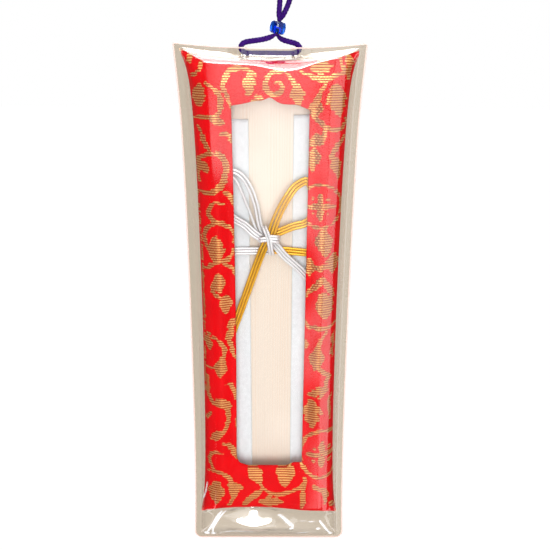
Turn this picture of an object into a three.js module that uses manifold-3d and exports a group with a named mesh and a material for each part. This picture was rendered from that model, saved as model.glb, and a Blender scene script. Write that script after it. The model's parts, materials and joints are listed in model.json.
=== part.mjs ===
// Omamori charm: a sewn brocade cushion with a window, a wooden slip in folded paper tied with a bow of
// paper cord, all sealed in a clear film case that hangs on a braided cord with a bead.
// Millimetres. +Z is up, the front faces -Y, and the origin is where the cord's loop hangs on its hook.
import * as THREE from "three";
import { mergeVertices } from "three/addons/utils/BufferGeometryUtils.js";
import Module from "manifold-3d";

const wasm = await Module();
wasm.setup();

// Case
const CASE_WIDTH = 52;
const CASE_LENGTH = 164;
const CASE_DRAW_IN = 1.6;
const CASE_DRAW_TOP = 14;
const CASE_DRAW_BOTTOM = 28;
const CASE_TOP_RADIUS = 0.8;
const CASE_BOTTOM_RADIUS = 3;
const FILM = 0.3;
const WELD_SIDE = 1.2;
const WELD_TOP = 0.55;
const FILM_RISE_SIDE = 7.5;
const FILM_RISE_TOP = 9;
const FILM_RISE_BOTTOM = 16;
const FILM_GAP = 0.6;
const FILM_FULLNESS = 0.8;
const FILM_EASE = 8;

// Cushion, with its room inside the welds
const ROOM_SIDE = 4.4;
const ROOM_TOP = 1.35;
const ROOM_BOTTOM = 10.3;
const CUSHION_FLARE = 4;
const CUSHION_FLARE_REACH = 22;
const CUSHION_EAR = 1.6;
const CUSHION_EAR_REACH = 4;
const CUSHION_TOP_SAG = 1.8;
const CUSHION_BOTTOM_SAG = 2;
const CROWN_ABOVE_BOW = 1.15;
const CROWN_REACH = 7;
const CROWN_EASE = 3;
const BROCADE = 0.4;
const SEAM_GAP = 0.3;
const THREAD = 0.5;
const THREAD_GAP = 0.3;

// Window in the front panel
const BORDER = 10;
const WINDOW_BELOW_TOP = 14.3;
const WINDOW_ABOVE_BOTTOM = 20.7;
const WINDOW_ARCH = 1;
const WINDOW_PEAK = 1.9;
const WINDOW_PEAK_HALF = 2;
const LIP_DROP = 1.6;
const LIP_WIDTH = 5;

// Inside the cushion
const SLIP_OVERLAP = 1.6;
const SLIP_MARGIN = 4;
const SLIP_THICK = 1.6;
const SLIP_FRONT_Y = 0.5;
const PAPER = 0.25;
const PAPER_BARE_STRIP = 12.2;
const PAPER_BELOW_WINDOW = 2.2;
const CARD_OVERLAP = 1.5;
const CARD_MARGIN = 8;
const CARD_THICK = 0.6;
const CARD_RADIUS = 2;
const PAD_CLEARANCE = 1.5;
const PAD_END_CLEARANCE = 0.6;
const PAD_RIM = 2.5;
const LAYER_GAP = 0.1;
const SOFT_GAP = 0.5;
const CARD_GAP = 0.4;

// Paper cord of the bow
const STRAND = 0.85;
const STRANDS_IN_BAND = 3;
const STRANDS_IN_WRAP = 2;
const VALLEY_SHARE = 0.6;
const KNOT_X = -0.7;
const KNOT_BELOW_WINDOW = 38.2;
const BELT_BELOW_KNOT = 2.8;
const BELT_TURN = 0.9;
const BELT_ENDS_GAP = 0.5;

// Hanging cord and bead
const CORD = 1.6;
const CORD_IN_BEAD = 1;
const CORD_SQUEEZE_REACH = 2;
const CORD_CROSSING_DEPTH = 1.7;
const CORD_STRANDS_GAP = 0.24;
const CORD_ENDS_GAP = 0.4;
const PORT_X = 7.65;
const PORT_SIDE_CLEARANCE = 0.75;
const PORT_CLEARANCE = 0.35;
const LOOP_HEIGHT = 52;
const BEAD_HEIGHT = 3.3;
const BEAD_WALL = 0.85;
const BEAD_BORE_CLEARANCE = 0.18;
const BEAD_MOUTH = 0.25;
const BEAD_RIM_SHARE = 0.15;
const BEAD_ROUNDNESS = 0.7;
const BEAD_X = 2;
const BEAD_ABOVE_CASE = 4.95;
const BEAD_LEAN = THREE.MathUtils.degToRad(12);

// Facets
const ACROSS = 10;
const DOWN = 22;
const FILM_STEPS = [0.08, 0.2, 0.36, 0.55, 0.77, 1];
const FILM_ROWS = 8;
const FRONT_RINGS = 6;
const RING_CROWDING = 1.6;
const PAD_RINGS = 4;
const BACK_COLUMNS = 12;
const THREAD_SIDES = 5;
const CORNER_STEPS = 4;
const TURN_STEPS = 3;
const SILVER_BOW_STEPS = 32;
const GOLD_BOW_STEPS = 36;
const WRAP_STEPS = 20;
const CORD_SIDES = 8;
const BRIDLE_STEPS = 46;
const LOOP_STEPS = 40;
const BEAD_STEPS = 10;
const BEAD_SIDES = 20;

// Places in height
const CASE_TOP_Z = -LOOP_HEIGHT;
const CASE_BOTTOM_Z = CASE_TOP_Z - CASE_LENGTH;
const CUSHION_TOP_Z = CASE_TOP_Z - WELD_TOP - ROOM_TOP;
const CUSHION_BOTTOM_Z = CASE_BOTTOM_Z + WELD_SIDE + ROOM_BOTTOM;
const WINDOW_TOP_Z = CUSHION_TOP_Z - WINDOW_BELOW_TOP;
const WINDOW_BOTTOM_Z = CUSHION_BOTTOM_Z + WINDOW_ABOVE_BOTTOM;
const SLIP_TOP_Z = WINDOW_TOP_Z + SLIP_MARGIN;
const SLIP_BOTTOM_Z = WINDOW_BOTTOM_Z - SLIP_MARGIN;
const KNOT_Z = WINDOW_TOP_Z - KNOT_BELOW_WINDOW;
const BELT_Z = KNOT_Z - BELT_BELOW_KNOT;
const CROSSING_Z = CASE_TOP_Z - CORD_CROSSING_DEPTH;

// Half widths
const CUSHION_WAIST_HALF = CASE_WIDTH / 2 - WELD_SIDE - ROOM_SIDE;
const WINDOW_HALF = CUSHION_WAIST_HALF - BORDER;
const SLIP_HALF = WINDOW_HALF + SLIP_OVERLAP;
const PAPER_HALF = SLIP_HALF + LAYER_GAP + PAPER;
const BELT_HALF = PAPER_HALF + 2 * LAYER_GAP + STRAND;
const PAD_OPENING_HALF = BELT_HALF + PAD_CLEARANCE;
const CARD_HALF = SLIP_HALF + CARD_OVERLAP;

// Layers in depth, from the slip to the front and to the back
const SLIP_BACK_Y = SLIP_FRONT_Y + SLIP_THICK;
const PAPER_FRONT_Y = SLIP_FRONT_Y - LAYER_GAP - PAPER;
const PAPER_BACK_Y = SLIP_BACK_Y + LAYER_GAP + PAPER;
const LAYER = STRAND + LAYER_GAP;
const BELT_FRONT_Y = PAPER_FRONT_Y - LAYER_GAP - STRAND / 2;
const BELT_BACK_Y = PAPER_BACK_Y + LAYER_GAP + STRAND / 2;
const UNDER_Y = BELT_FRONT_Y - LAYER;
const OVER_Y = UNDER_Y - LAYER;
const WRAP_Y = OVER_Y - LAYER;
const CARD_FRONT_Y = BELT_BACK_Y + STRAND / 2 + LAYER_GAP;
const PAD_BACK_Y = CARD_FRONT_Y - SOFT_GAP;
const SEAM_HALF = SEAM_GAP / 2 + BROCADE;
const CROWN_FRONT = CROWN_ABOVE_BOW + STRAND / 2 - WRAP_Y;
const CROWN_BACK = CARD_FRONT_Y + CARD_THICK + CARD_GAP + BROCADE;

// Bead
const STRAND_ASIDE = (CORD_IN_BEAD + CORD_STRANDS_GAP) / 2;
const BEAD_BORE_RADIUS = STRAND_ASIDE + CORD_IN_BEAD / 2 + BEAD_BORE_CLEARANCE;
const BEAD_MOUTH_AT = BEAD_HEIGHT / 2 - BEAD_MOUTH;
const BEAD_CENTRE = new THREE.Vector3(BEAD_X, 0, CASE_TOP_Z + BEAD_ABOVE_CASE);
const BEAD_AXIS = new THREE.Vector3(Math.sin(BEAD_LEAN), 0, Math.cos(BEAD_LEAN));

// A closed solid from points and triangles
function solid(points, faces) {
  const geometry = new THREE.BufferGeometry();
  const flat = points.flatMap((p) => [p.x, p.y, p.z]);
  geometry.setAttribute("position", new THREE.Float32BufferAttribute(flat, 3));
  geometry.setIndex(faces.flat());
  return geometry;
}

// Two triangles for a quad given in turn
function quad(a, b, c, d) {
  return [[a, b, c], [a, c, d]];
}

// A sheet with a front and a back height over a grid of places; rows run down, columns to the right
function sheetSolid(grid, frontY, backY) {
  const rows = grid.length;
  const columns = grid[0].length;
  const places = grid.flat();
  const count = places.length;
  const points = [
    ...places.map((p) => new THREE.Vector3(p.x, frontY(p.x, p.z), p.z)),
    ...places.map((p) => new THREE.Vector3(p.x, backY(p.x, p.z), p.z)),
  ];
  const at = (row, column) => row * columns + column;
  const faces = [];
  for (let row = 0; row < rows - 1; row += 1) {
    for (let column = 0; column < columns - 1; column += 1) {
      const [a, b, c, d] = [at(row, column), at(row + 1, column), at(row + 1, column + 1), at(row, column + 1)];
      faces.push(...quad(a, b, c, d), ...quad(a + count, d + count, c + count, b + count));
    }
  }
  const rim = [];
  for (let row = 0; row < rows - 1; row += 1) rim.push(at(row, 0));
  for (let column = 0; column < columns - 1; column += 1) rim.push(at(rows - 1, column));
  for (let row = rows - 1; row > 0; row -= 1) rim.push(at(row, columns - 1));
  for (let column = columns - 1; column > 0; column -= 1) rim.push(at(0, column));
  rim.forEach((p, i) => {
    const q = rim[(i + 1) % rim.length];
    faces.push(...quad(q, p, p + count, q + count));
  });
  return solid(points, faces);
}

// A ring-shaped sheet between an inner and an outer outline, both clockwise seen from the front;
// its steps crowd towards the steep outer edge
function ringSolid(inner, outer, steps, frontY, backY) {
  const around = inner.length;
  const places = [];
  for (let step = 0; step <= steps; step += 1) {
    const share = 1 - (1 - step / steps) ** RING_CROWDING;
    for (let i = 0; i < around; i += 1) {
      places.push(new THREE.Vector2().lerpVectors(inner[i], outer[i], share));
    }
  }
  const count = places.length;
  const points = [
    ...places.map((p) => new THREE.Vector3(p.x, frontY(p.x, p.y), p.y)),
    ...places.map((p) => new THREE.Vector3(p.x, backY(p.x, p.y), p.y)),
  ];
  const at = (step, i) => step * around + (i % around);
  const faces = [];
  for (let i = 0; i < around; i += 1) {
    for (let step = 0; step < steps; step += 1) {
      const [a, b, c, d] = [at(step, i), at(step, i + 1), at(step + 1, i + 1), at(step + 1, i)];
      faces.push(...quad(a, b, c, d), ...quad(a + count, d + count, c + count, b + count));
    }
    const [p, q] = [at(0, i), at(0, i + 1)];
    faces.push(...quad(q, p, p + count, q + count));
    const [r, s] = [at(steps, i + 1), at(steps, i)];
    faces.push(...quad(s, r, r + count, s + count));
  }
  return solid(points, faces);
}

// A section carried along a path; across(tangent) gives the section's first axis
function sweptSolid(path, section, across, closed = false) {
  const rings = path.length;
  const sides = section(0).length;
  const points = [];
  path.forEach((place, i) => {
    const before = path[closed ? (i + rings - 1) % rings : Math.max(i - 1, 0)];
    const after = path[closed ? (i + 1) % rings : Math.min(i + 1, rings - 1)];
    const along = new THREE.Vector3().subVectors(after, before).normalize();
    const first = across(along).clone();
    first.addScaledVector(along, -first.dot(along)).normalize();
    const second = new THREE.Vector3().crossVectors(along, first);
    section(i).forEach(([s, t]) => {
      points.push(place.clone().addScaledVector(first, s).addScaledVector(second, t));
    });
  });
  const faces = [];
  const turns = closed ? rings : rings - 1;
  for (let i = 0; i < turns; i += 1) {
    for (let j = 0; j < sides; j += 1) {
      const next = ((i + 1) % rings) * sides;
      const k = (j + 1) % sides;
      faces.push(...quad(i * sides + j, i * sides + k, next + k, next + j));
    }
  }
  if (!closed) {
    points.push(path[0].clone(), path[rings - 1].clone());
    const [start, end] = [points.length - 2, points.length - 1];
    const last = (rings - 1) * sides;
    for (let j = 0; j < sides; j += 1) {
      const k = (j + 1) % sides;
      faces.push([start, k, j], [end, last + j, last + k]);
    }
  }
  return solid(points, faces);
}

// Points evenly spaced along a smooth curve through the given places
function smooth(places, steps) {
  const curve = new THREE.CatmullRomCurve3(places, false, "centripetal");
  return curve.getSpacedPoints(steps);
}

function cutter(geometry) {
  const bare = geometry.index ? geometry.clone() : geometry;
  bare.deleteAttribute("normal");
  bare.deleteAttribute("uv");
  const merged = mergeVertices(bare);
  const vertProperties = new Float32Array(merged.attributes.position.array);
  const triVerts = new Uint32Array(merged.index.array);
  return new wasm.Manifold(new wasm.Mesh({ numProp: 3, vertProperties, triVerts }));
}

function subtract(geometry, tools) {
  let body = cutter(geometry);
  for (const tool of tools) body = body.subtract(cutter(tool));
  const mesh = body.getMesh();
  const result = new THREE.BufferGeometry();
  result.setAttribute("position", new THREE.BufferAttribute(mesh.vertProperties, 3));
  result.setIndex(new THREE.BufferAttribute(mesh.triVerts, 1));
  return result;
}

function box(lowX, highX, lowY, highY, lowZ, highZ) {
  const geometry = new THREE.BoxGeometry(highX - lowX, highY - lowY, highZ - lowZ);
  return geometry.translate((lowX + highX) / 2, (lowY + highY) / 2, (lowZ + highZ) / 2);
}

// Case outline: straight ends, sides drawn in between the corners
function roundedCorner(depth, radius) {
  const short = Math.max(radius - depth, 0);
  return radius - Math.sqrt(radius ** 2 - short ** 2);
}

function caseHalf(z) {
  const fromTop = CASE_TOP_Z - z;
  const fromBottom = z - CASE_BOTTOM_Z;
  const flare = Math.exp(-fromTop / CASE_DRAW_TOP) + Math.exp(-fromBottom / CASE_DRAW_BOTTOM);
  const corner = roundedCorner(fromTop, CASE_TOP_RADIUS) + roundedCorner(fromBottom, CASE_BOTTOM_RADIUS);
  return CASE_WIDTH / 2 - CASE_DRAW_IN * (1 - flare) - corner;
}

// Share of the full height at a distance from an edge
function filmRise(distance, reach) {
  const share = THREE.MathUtils.clamp(distance / reach, 0, 1);
  return Math.sin((Math.PI / 2) * share) ** FILM_FULLNESS;
}

function dome(distance, reach) {
  const short = 1 - THREE.MathUtils.clamp(distance / reach, 0, 1);
  return Math.sqrt(1 - short ** 2);
}

// The lowest of several shares, eased where they meet
function easedLowest(shares, sharpness) {
  const sum = shares.reduce((total, share) => total + (1 - share) ** sharpness, 0);
  return 1 - sum ** (1 / sharpness);
}

function filmShare(x, z) {
  const side = filmRise(caseHalf(z) - Math.abs(x) - WELD_SIDE, FILM_RISE_SIDE);
  const top = filmRise(CASE_TOP_Z - z - WELD_TOP, FILM_RISE_TOP);
  const bottom = filmRise(z - CASE_BOTTOM_Z - WELD_SIDE, FILM_RISE_BOTTOM);
  return THREE.MathUtils.clamp(easedLowest([side, top, bottom], FILM_EASE), 0, 1);
}

// Cushion outline: ears at the corners, drawn-in sides, ends that sag between the ears
function cushionHalf(z) {
  const fromTop = Math.max(CUSHION_TOP_Z - z, 0);
  const fromBottom = Math.max(z - CUSHION_BOTTOM_Z, 0);
  const near = Math.min(fromTop, fromBottom);
  const flare = (CUSHION_FLARE / 2) * Math.exp(-near / CUSHION_FLARE_REACH);
  const ear = (CUSHION_EAR / 2) * Math.exp(-near / CUSHION_EAR_REACH);
  return CUSHION_WAIST_HALF + flare + ear;
}

function cushionEnd(x, sag) {
  const share = Math.min(Math.abs(x) / cushionHalf(CUSHION_TOP_Z), 1);
  return sag * (1 - share ** 4);
}

function cushionTop(x) {
  return CUSHION_TOP_Z - cushionEnd(x, CUSHION_TOP_SAG);
}

function cushionBottom(x) {
  return CUSHION_BOTTOM_Z + cushionEnd(x, CUSHION_BOTTOM_SAG);
}

function cushionShare(x, z) {
  const side = dome(cushionHalf(z) - Math.abs(x), CROWN_REACH);
  const top = dome(cushionTop(x) - z, CROWN_REACH);
  const bottom = dome(z - cushionBottom(x), CROWN_REACH);
  return THREE.MathUtils.clamp(easedLowest([side, top, bottom], CROWN_EASE), 0, 1);
}

// Window outline: an arch with a small peak over straight sides
function windowTop(x) {
  const arch = WINDOW_ARCH * (1 - (x / WINDOW_HALF) ** 2);
  const peak = WINDOW_PEAK * Math.exp(-((x / WINDOW_PEAK_HALF) ** 2));
  return WINDOW_TOP_Z + arch + peak;
}

function outsideWindow(x, z) {
  const inReach = THREE.MathUtils.clamp(x, -WINDOW_HALF, WINDOW_HALF);
  return Math.max(Math.abs(x) - WINDOW_HALF, z - windowTop(inReach), WINDOW_BOTTOM_Z - z, 0);
}

// Height of the cushion's cloth over its seam
function cushionRise(x, z, crown) {
  return SEAM_HALF + (crown - SEAM_HALF) * cushionShare(x, z);
}

function frontOutY(x, z) {
  const dip = 1 - THREE.MathUtils.smoothstep(outsideWindow(x, z), 0, LIP_WIDTH);
  return LIP_DROP * dip - cushionRise(x, z, CROWN_FRONT);
}

const frontInY = (x, z) => frontOutY(x, z) + BROCADE;
const backOutY = (x, z) => cushionRise(x, z, CROWN_BACK);
const backInY = (x, z) => backOutY(x, z) - BROCADE;

// Height of a film's inner face: puffed inside its welds, and never nearer to the cushion than the gap
function filmHeight(x, z, crown) {
  const puff = (crown + FILM_GAP) * filmShare(x, z);
  return cushionShare(x, z) > 0 ? Math.max(puff, cushionRise(x, z, crown) + FILM_GAP) : puff;
}

// An outline of four sides, clockwise from the top left, as even steps along each side
function fourSides(halfWidth, top, bottom) {
  const outline = [];
  const push = (x, z) => outline.push(new THREE.Vector2(x, z));
  const topZ = top(halfWidth(top(0)));
  const bottomZ = bottom(halfWidth(bottom(0)));
  const eased = (i) => (1 - Math.cos((Math.PI * i) / DOWN)) / 2;
  for (let i = 0; i < ACROSS; i += 1) {
    const x = halfWidth(topZ) * (-1 + (2 * i) / ACROSS);
    push(x, top(x));
  }
  for (let i = 0; i < DOWN; i += 1) {
    const z = THREE.MathUtils.lerp(topZ, bottomZ, eased(i));
    push(halfWidth(z), z);
  }
  for (let i = 0; i < ACROSS; i += 1) {
    const x = halfWidth(bottomZ) * (1 - (2 * i) / ACROSS);
    push(x, bottom(x));
  }
  for (let i = 0; i < DOWN; i += 1) {
    const z = THREE.MathUtils.lerp(bottomZ, topZ, eased(i));
    push(-halfWidth(z), z);
  }
  return outline;
}

function insetOutline(inset) {
  const half = (z) => cushionHalf(z) - inset;
  const top = (x) => cushionTop(x) - inset;
  const bottom = (x) => cushionBottom(x) + inset;
  return fourSides(half, top, bottom);
}

// Case films: a grid that is fine near the welds, flat there and puffed inside
function filmGrid() {
  const fromEdge = (weld, rise) => [0, weld, ...FILM_STEPS.map((share) => weld + share * rise)];
  const sideSteps = fromEdge(WELD_SIDE, FILM_RISE_SIDE);
  const topSteps = fromEdge(WELD_TOP, FILM_RISE_TOP);
  const bottomSteps = fromEdge(WELD_SIDE, FILM_RISE_BOTTOM);
  bottomSteps.splice(1, 0, WELD_SIDE / 3);
  const firstMiddle = topSteps.at(-1);
  const lastMiddle = CASE_LENGTH - bottomSteps.at(-1);
  const depths = [...topSteps];
  for (let i = 1; i < FILM_ROWS; i += 1) {
    depths.push(THREE.MathUtils.lerp(firstMiddle, lastMiddle, i / FILM_ROWS));
  }
  depths.push(...bottomSteps.toReversed().map((step) => CASE_LENGTH - step));
  return depths.map((depth) => {
    const z = CASE_TOP_Z - depth;
    const left = sideSteps.map((step) => new THREE.Vector3(step - caseHalf(z), 0, z));
    const right = sideSteps.toReversed().map((step) => new THREE.Vector3(caseHalf(z) - step, 0, z));
    return [...left, ...right];
  });
}

function portCutters() {
  const reach = Math.max(CROWN_FRONT, CROWN_BACK) + FILM_GAP + FILM;
  const half = CORD / 2 + PORT_SIDE_CLEARANCE;
  const floor = CROSSING_Z - CORD / 2 - PORT_CLEARANCE;
  return [-PORT_X, PORT_X].map((x) => box(x - half, x + half, -reach, reach, floor, CASE_TOP_Z + CORD));
}

function frontFilm() {
  const outside = (x, z) => -FILM - filmHeight(x, z, CROWN_FRONT);
  const inside = (x, z) => -filmHeight(x, z, CROWN_FRONT);
  return subtract(sheetSolid(filmGrid(), outside, inside), portCutters());
}

function rearFilm() {
  const inside = (x, z) => filmHeight(x, z, CROWN_BACK);
  const outside = (x, z) => FILM + filmHeight(x, z, CROWN_BACK);
  return subtract(sheetSolid(filmGrid(), inside, outside), portCutters());
}

// Cushion pieces
function frontPanel() {
  const window = fourSides(() => WINDOW_HALF, windowTop, () => WINDOW_BOTTOM_Z);
  return ringSolid(window, insetOutline(0), FRONT_RINGS, frontOutY, frontInY);
}

function backPanel() {
  const grid = [];
  for (let row = 0; row <= DOWN; row += 1) {
    const v = (1 - Math.cos((Math.PI * row) / DOWN)) / 2;
    const line = [];
    for (let column = 0; column <= BACK_COLUMNS; column += 1) {
      const u = -Math.cos((Math.PI * column) / BACK_COLUMNS);
      const end = cushionHalf(CUSHION_TOP_Z) * u;
      const z = THREE.MathUtils.lerp(cushionTop(end), cushionBottom(end), v);
      line.push(new THREE.Vector3(cushionHalf(z) * u, 0, z));
    }
    grid.push(line);
  }
  return sheetSolid(grid, backInY, backOutY);
}

function paddingFrame() {
  const top = () => SLIP_TOP_Z + PAD_END_CLEARANCE;
  const bottom = () => SLIP_BOTTOM_Z - PAD_END_CLEARANCE;
  const opening = fourSides(() => PAD_OPENING_HALF, top, bottom);
  const front = (x, z) => frontInY(x, z) + SOFT_GAP;
  const back = (x, z) => Math.min(PAD_BACK_Y, backInY(x, z) - SOFT_GAP);
  return ringSolid(opening, insetOutline(PAD_RIM), PAD_RINGS, front, back);
}

function seamThread() {
  const out = THREAD_GAP + THREAD / 2;
  const path = insetOutline(-out).map((p) => new THREE.Vector3(p.x, 0, p.y));
  const round = roundSection(THREAD / 2, THREAD_SIDES);
  return sweptSolid(path, () => round, () => new THREE.Vector3(0, 1, 0), true);
}

function backingCard() {
  const shape = new THREE.Shape();
  const half = CARD_HALF;
  const top = CUSHION_TOP_Z - CARD_MARGIN;
  const bottom = CUSHION_BOTTOM_Z + CARD_MARGIN;
  shape.moveTo(-half, bottom + CARD_RADIUS);
  shape.absarc(-half + CARD_RADIUS, top - CARD_RADIUS, CARD_RADIUS, Math.PI, Math.PI / 2, true);
  shape.absarc(half - CARD_RADIUS, top - CARD_RADIUS, CARD_RADIUS, Math.PI / 2, 0, true);
  shape.absarc(half - CARD_RADIUS, bottom + CARD_RADIUS, CARD_RADIUS, 0, -Math.PI / 2, true);
  shape.absarc(-half + CARD_RADIUS, bottom + CARD_RADIUS, CARD_RADIUS, -Math.PI / 2, -Math.PI, true);
  const extrusion = { depth: CARD_THICK, bevelEnabled: false, curveSegments: CORNER_STEPS };
  const geometry = new THREE.ExtrudeGeometry(shape, extrusion);
  return geometry.rotateX(Math.PI / 2).translate(0, CARD_FRONT_Y + CARD_THICK, 0);
}

function woodenSlip() {
  return box(-SLIP_HALF, SLIP_HALF, SLIP_FRONT_Y, SLIP_BACK_Y, SLIP_BOTTOM_Z, SLIP_TOP_Z);
}

// Paper folded round the slip: a back, two sides and two front flaps, as one bent sheet
function paperWrap() {
  const outX = PAPER_HALF;
  const inX = outX - PAPER;
  const lip = PAPER_BARE_STRIP / 2;
  const [frontIn, frontOut] = [PAPER_FRONT_Y + PAPER, PAPER_FRONT_Y];
  const [backIn, backOut] = [PAPER_BACK_Y - PAPER, PAPER_BACK_Y];
  const outline = [
    [-lip, frontOut], [-lip, frontIn], [-inX, frontIn], [-inX, backIn], [inX, backIn], [inX, frontIn],
    [lip, frontIn], [lip, frontOut], [outX, frontOut], [outX, backOut], [-outX, backOut], [-outX, frontOut],
  ];
  const shape = new THREE.Shape(outline.map(([x, y]) => new THREE.Vector2(x, y)));
  const depth = WINDOW_TOP_Z - PAPER_BELOW_WINDOW - SLIP_BOTTOM_Z;
  const geometry = new THREE.ExtrudeGeometry(shape, { depth, bevelEnabled: false });
  return geometry.translate(0, 0, SLIP_BOTTOM_Z);
}

// Sections
function roundSection(radius, sides) {
  const section = [];
  for (let i = 0; i < sides; i += 1) {
    const turn = (2 * Math.PI * i) / sides;
    section.push([radius * Math.cos(turn), radius * Math.sin(turn)]);
  }
  return section;
}

// Round strands side by side, glued into a flat band
function bandSection(strands) {
  const radius = STRAND / 2;
  const half = (strands * STRAND) / 2;
  const valley = radius * VALLEY_SHARE;
  const upper = [];
  for (let i = 0; i < strands; i += 1) {
    const centre = half - radius - i * STRAND;
    if (i > 0) upper.push([centre + radius, valley]);
    upper.push([centre, radius]);
  }
  const lower = upper.map(([s, t]) => [-s, -t]);
  const shoulder = radius * Math.SQRT1_2;
  const corner = half - radius + shoulder;
  return [
    [half, 0], [corner, shoulder], ...upper, [-corner, shoulder],
    [-half, 0], [-corner, -shoulder], ...lower, [corner, -shoulder],
  ];
}

const bandOfThree = bandSection(STRANDS_IN_BAND);
const flatAcross = (along) => new THREE.Vector3().crossVectors(along, new THREE.Vector3(0, -1, 0));

// Bow: places are tenths of the window's half width to the right of and above the knot, with a depth
function bowPath(places, steps) {
  const tenth = WINDOW_HALF / 10;
  return smooth(places.map(([x, z, y]) => new THREE.Vector3(KNOT_X + tenth * x, y, KNOT_Z + tenth * z)), steps);
}

function bowSilver() {
  const places = [
    [-2.2, 1.8, OVER_Y], [-4.4, 3.8, OVER_Y], [-6.9, 5.8, UNDER_Y], [-9.6, 7.7, UNDER_Y], [-11, 11, UNDER_Y],
    [-11.1, 15.2, UNDER_Y], [-10.2, 18.8, UNDER_Y], [-8.3, 20, UNDER_Y], [-5.8, 18.1, UNDER_Y],
    [-3.7, 12.5, UNDER_Y], [-2.3, 7.1, UNDER_Y], [-1.1, 3.2, UNDER_Y], [0.4, 1.2, UNDER_Y], [2.1, -0.6, UNDER_Y],
    [6, -4.8, UNDER_Y], [10, -9.8, UNDER_Y], [12.1, -12.5, UNDER_Y],
  ];
  return sweptSolid(bowPath(places, SILVER_BOW_STEPS), () => bandOfThree, flatAcross);
}

function bowGold() {
  const places = [
    [2.7, 3.1, UNDER_Y], [6, 4.1, UNDER_Y], [9.2, 5.6, UNDER_Y], [11.7, 8.1, UNDER_Y], [12.4, 11.9, UNDER_Y],
    [11.9, 16, UNDER_Y], [10, 17.9, UNDER_Y], [7.1, 16.7, UNDER_Y], [4.4, 13.1, OVER_Y], [2.5, 8.3, OVER_Y],
    [1.2, 3.5, OVER_Y], [0, 0.9, OVER_Y], [-1.2, -1.7, OVER_Y], [-3.3, -6.7, UNDER_Y], [-6.2, -14.4, UNDER_Y],
    [-9.2, -23.1, UNDER_Y], [-11, -27.5, UNDER_Y],
  ];
  return sweptSolid(bowPath(places, GOLD_BOW_STEPS), () => bandOfThree, flatAcross);
}

function knotWrap() {
  const section = bandSection(STRANDS_IN_WRAP);
  const places = [
    [0, 7.3, BELT_FRONT_Y], [0, 7.6, OVER_Y], [-0.1, 6.3, WRAP_Y], [0, 1.5, WRAP_Y],
    [0.5, -3.8, WRAP_Y], [0.6, -5.2, OVER_Y], [0.6, -5, BELT_FRONT_Y],
  ];
  return sweptSolid(bowPath(places, WRAP_STEPS), () => section, () => new THREE.Vector3(1, 0, 0));
}

// Half of the belt, from the knot round one edge of the wrapped slip to the middle of its back
function belt(side) {
  const out = BELT_HALF - STRAND / 2;
  const end = BELT_ENDS_GAP / 2;
  const corner = out - BELT_TURN;
  const path = [];
  const push = (x, y) => path.push(new THREE.Vector3(side * x, y, BELT_Z));
  push(end, BELT_FRONT_Y);
  push(out / 2, BELT_FRONT_Y);
  for (let i = 0; i <= TURN_STEPS; i += 1) {
    const angle = (Math.PI / 2) * (i / TURN_STEPS);
    push(corner + BELT_TURN * Math.sin(angle), BELT_FRONT_Y + BELT_TURN * (1 - Math.cos(angle)));
  }
  for (let i = 0; i <= TURN_STEPS; i += 1) {
    const angle = (Math.PI / 2) * (i / TURN_STEPS);
    push(corner + BELT_TURN * Math.cos(angle), BELT_BACK_Y - BELT_TURN * (1 - Math.sin(angle)));
  }
  push(end, BELT_BACK_Y);
  return sweptSolid(path, () => bandOfThree, () => new THREE.Vector3(0, 0, 1));
}

// Cord: thinner where the bead squeezes it
function cordTube(places, steps) {
  const path = smooth(places, steps);
  const sections = path.map((place) => {
    const along = Math.abs(new THREE.Vector3().subVectors(place, BEAD_CENTRE).dot(BEAD_AXIS));
    const aside = place.distanceTo(BEAD_CENTRE);
    const away = Math.max(along, aside) - BEAD_HEIGHT / 2;
    const share = THREE.MathUtils.smoothstep(away, 0, CORD_SQUEEZE_REACH);
    return roundSection(THREE.MathUtils.lerp(CORD_IN_BEAD, CORD, share) / 2, CORD_SIDES);
  });
  return sweptSolid(path, (i) => sections[i], () => new THREE.Vector3(0, 1, 0));
}

// A place on the cord: right of the middle, above the case's top edge, and in depth
const onCord = ([x, z, y = 0]) => new THREE.Vector3(x, y, CASE_TOP_Z + z);

function inBead(along, y) {
  return BEAD_CENTRE.clone().addScaledVector(BEAD_AXIS, along).setY(y);
}

function cordBridle() {
  const low = -CORD_CROSSING_DEPTH;
  const places = [
    inBead(-CORD_ENDS_GAP / 2, -STRAND_ASIDE), inBead(-BEAD_MOUTH_AT, -STRAND_ASIDE),
    ...[
      [0.6, 2.75, -0.5], [-1.4, 2.05, -0.25], [-3.6, 1.65], [-5.4, 1.4], [-6.7, 1.15], [-7.6, 0.65], [-7.95, -0.2],
      [-7.6, -1.05], [-6.7, -1.55], [-5.6, low], [-3, low], [0, low], [3, low], [5.6, low], [6.7, -1.55],
      [7.6, -1.05], [7.95, -0.2], [7.5, 0.5], [6.6, 0.95], [5.2, 1.3], [3.6, 1.75, 0.4], [2.5, 2.35, 0.55],
    ].map(onCord),
    inBead(-BEAD_MOUTH_AT, STRAND_ASIDE), inBead(-CORD_ENDS_GAP / 2, STRAND_ASIDE),
  ];
  return cordTube(places, BRIDLE_STEPS);
}

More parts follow.
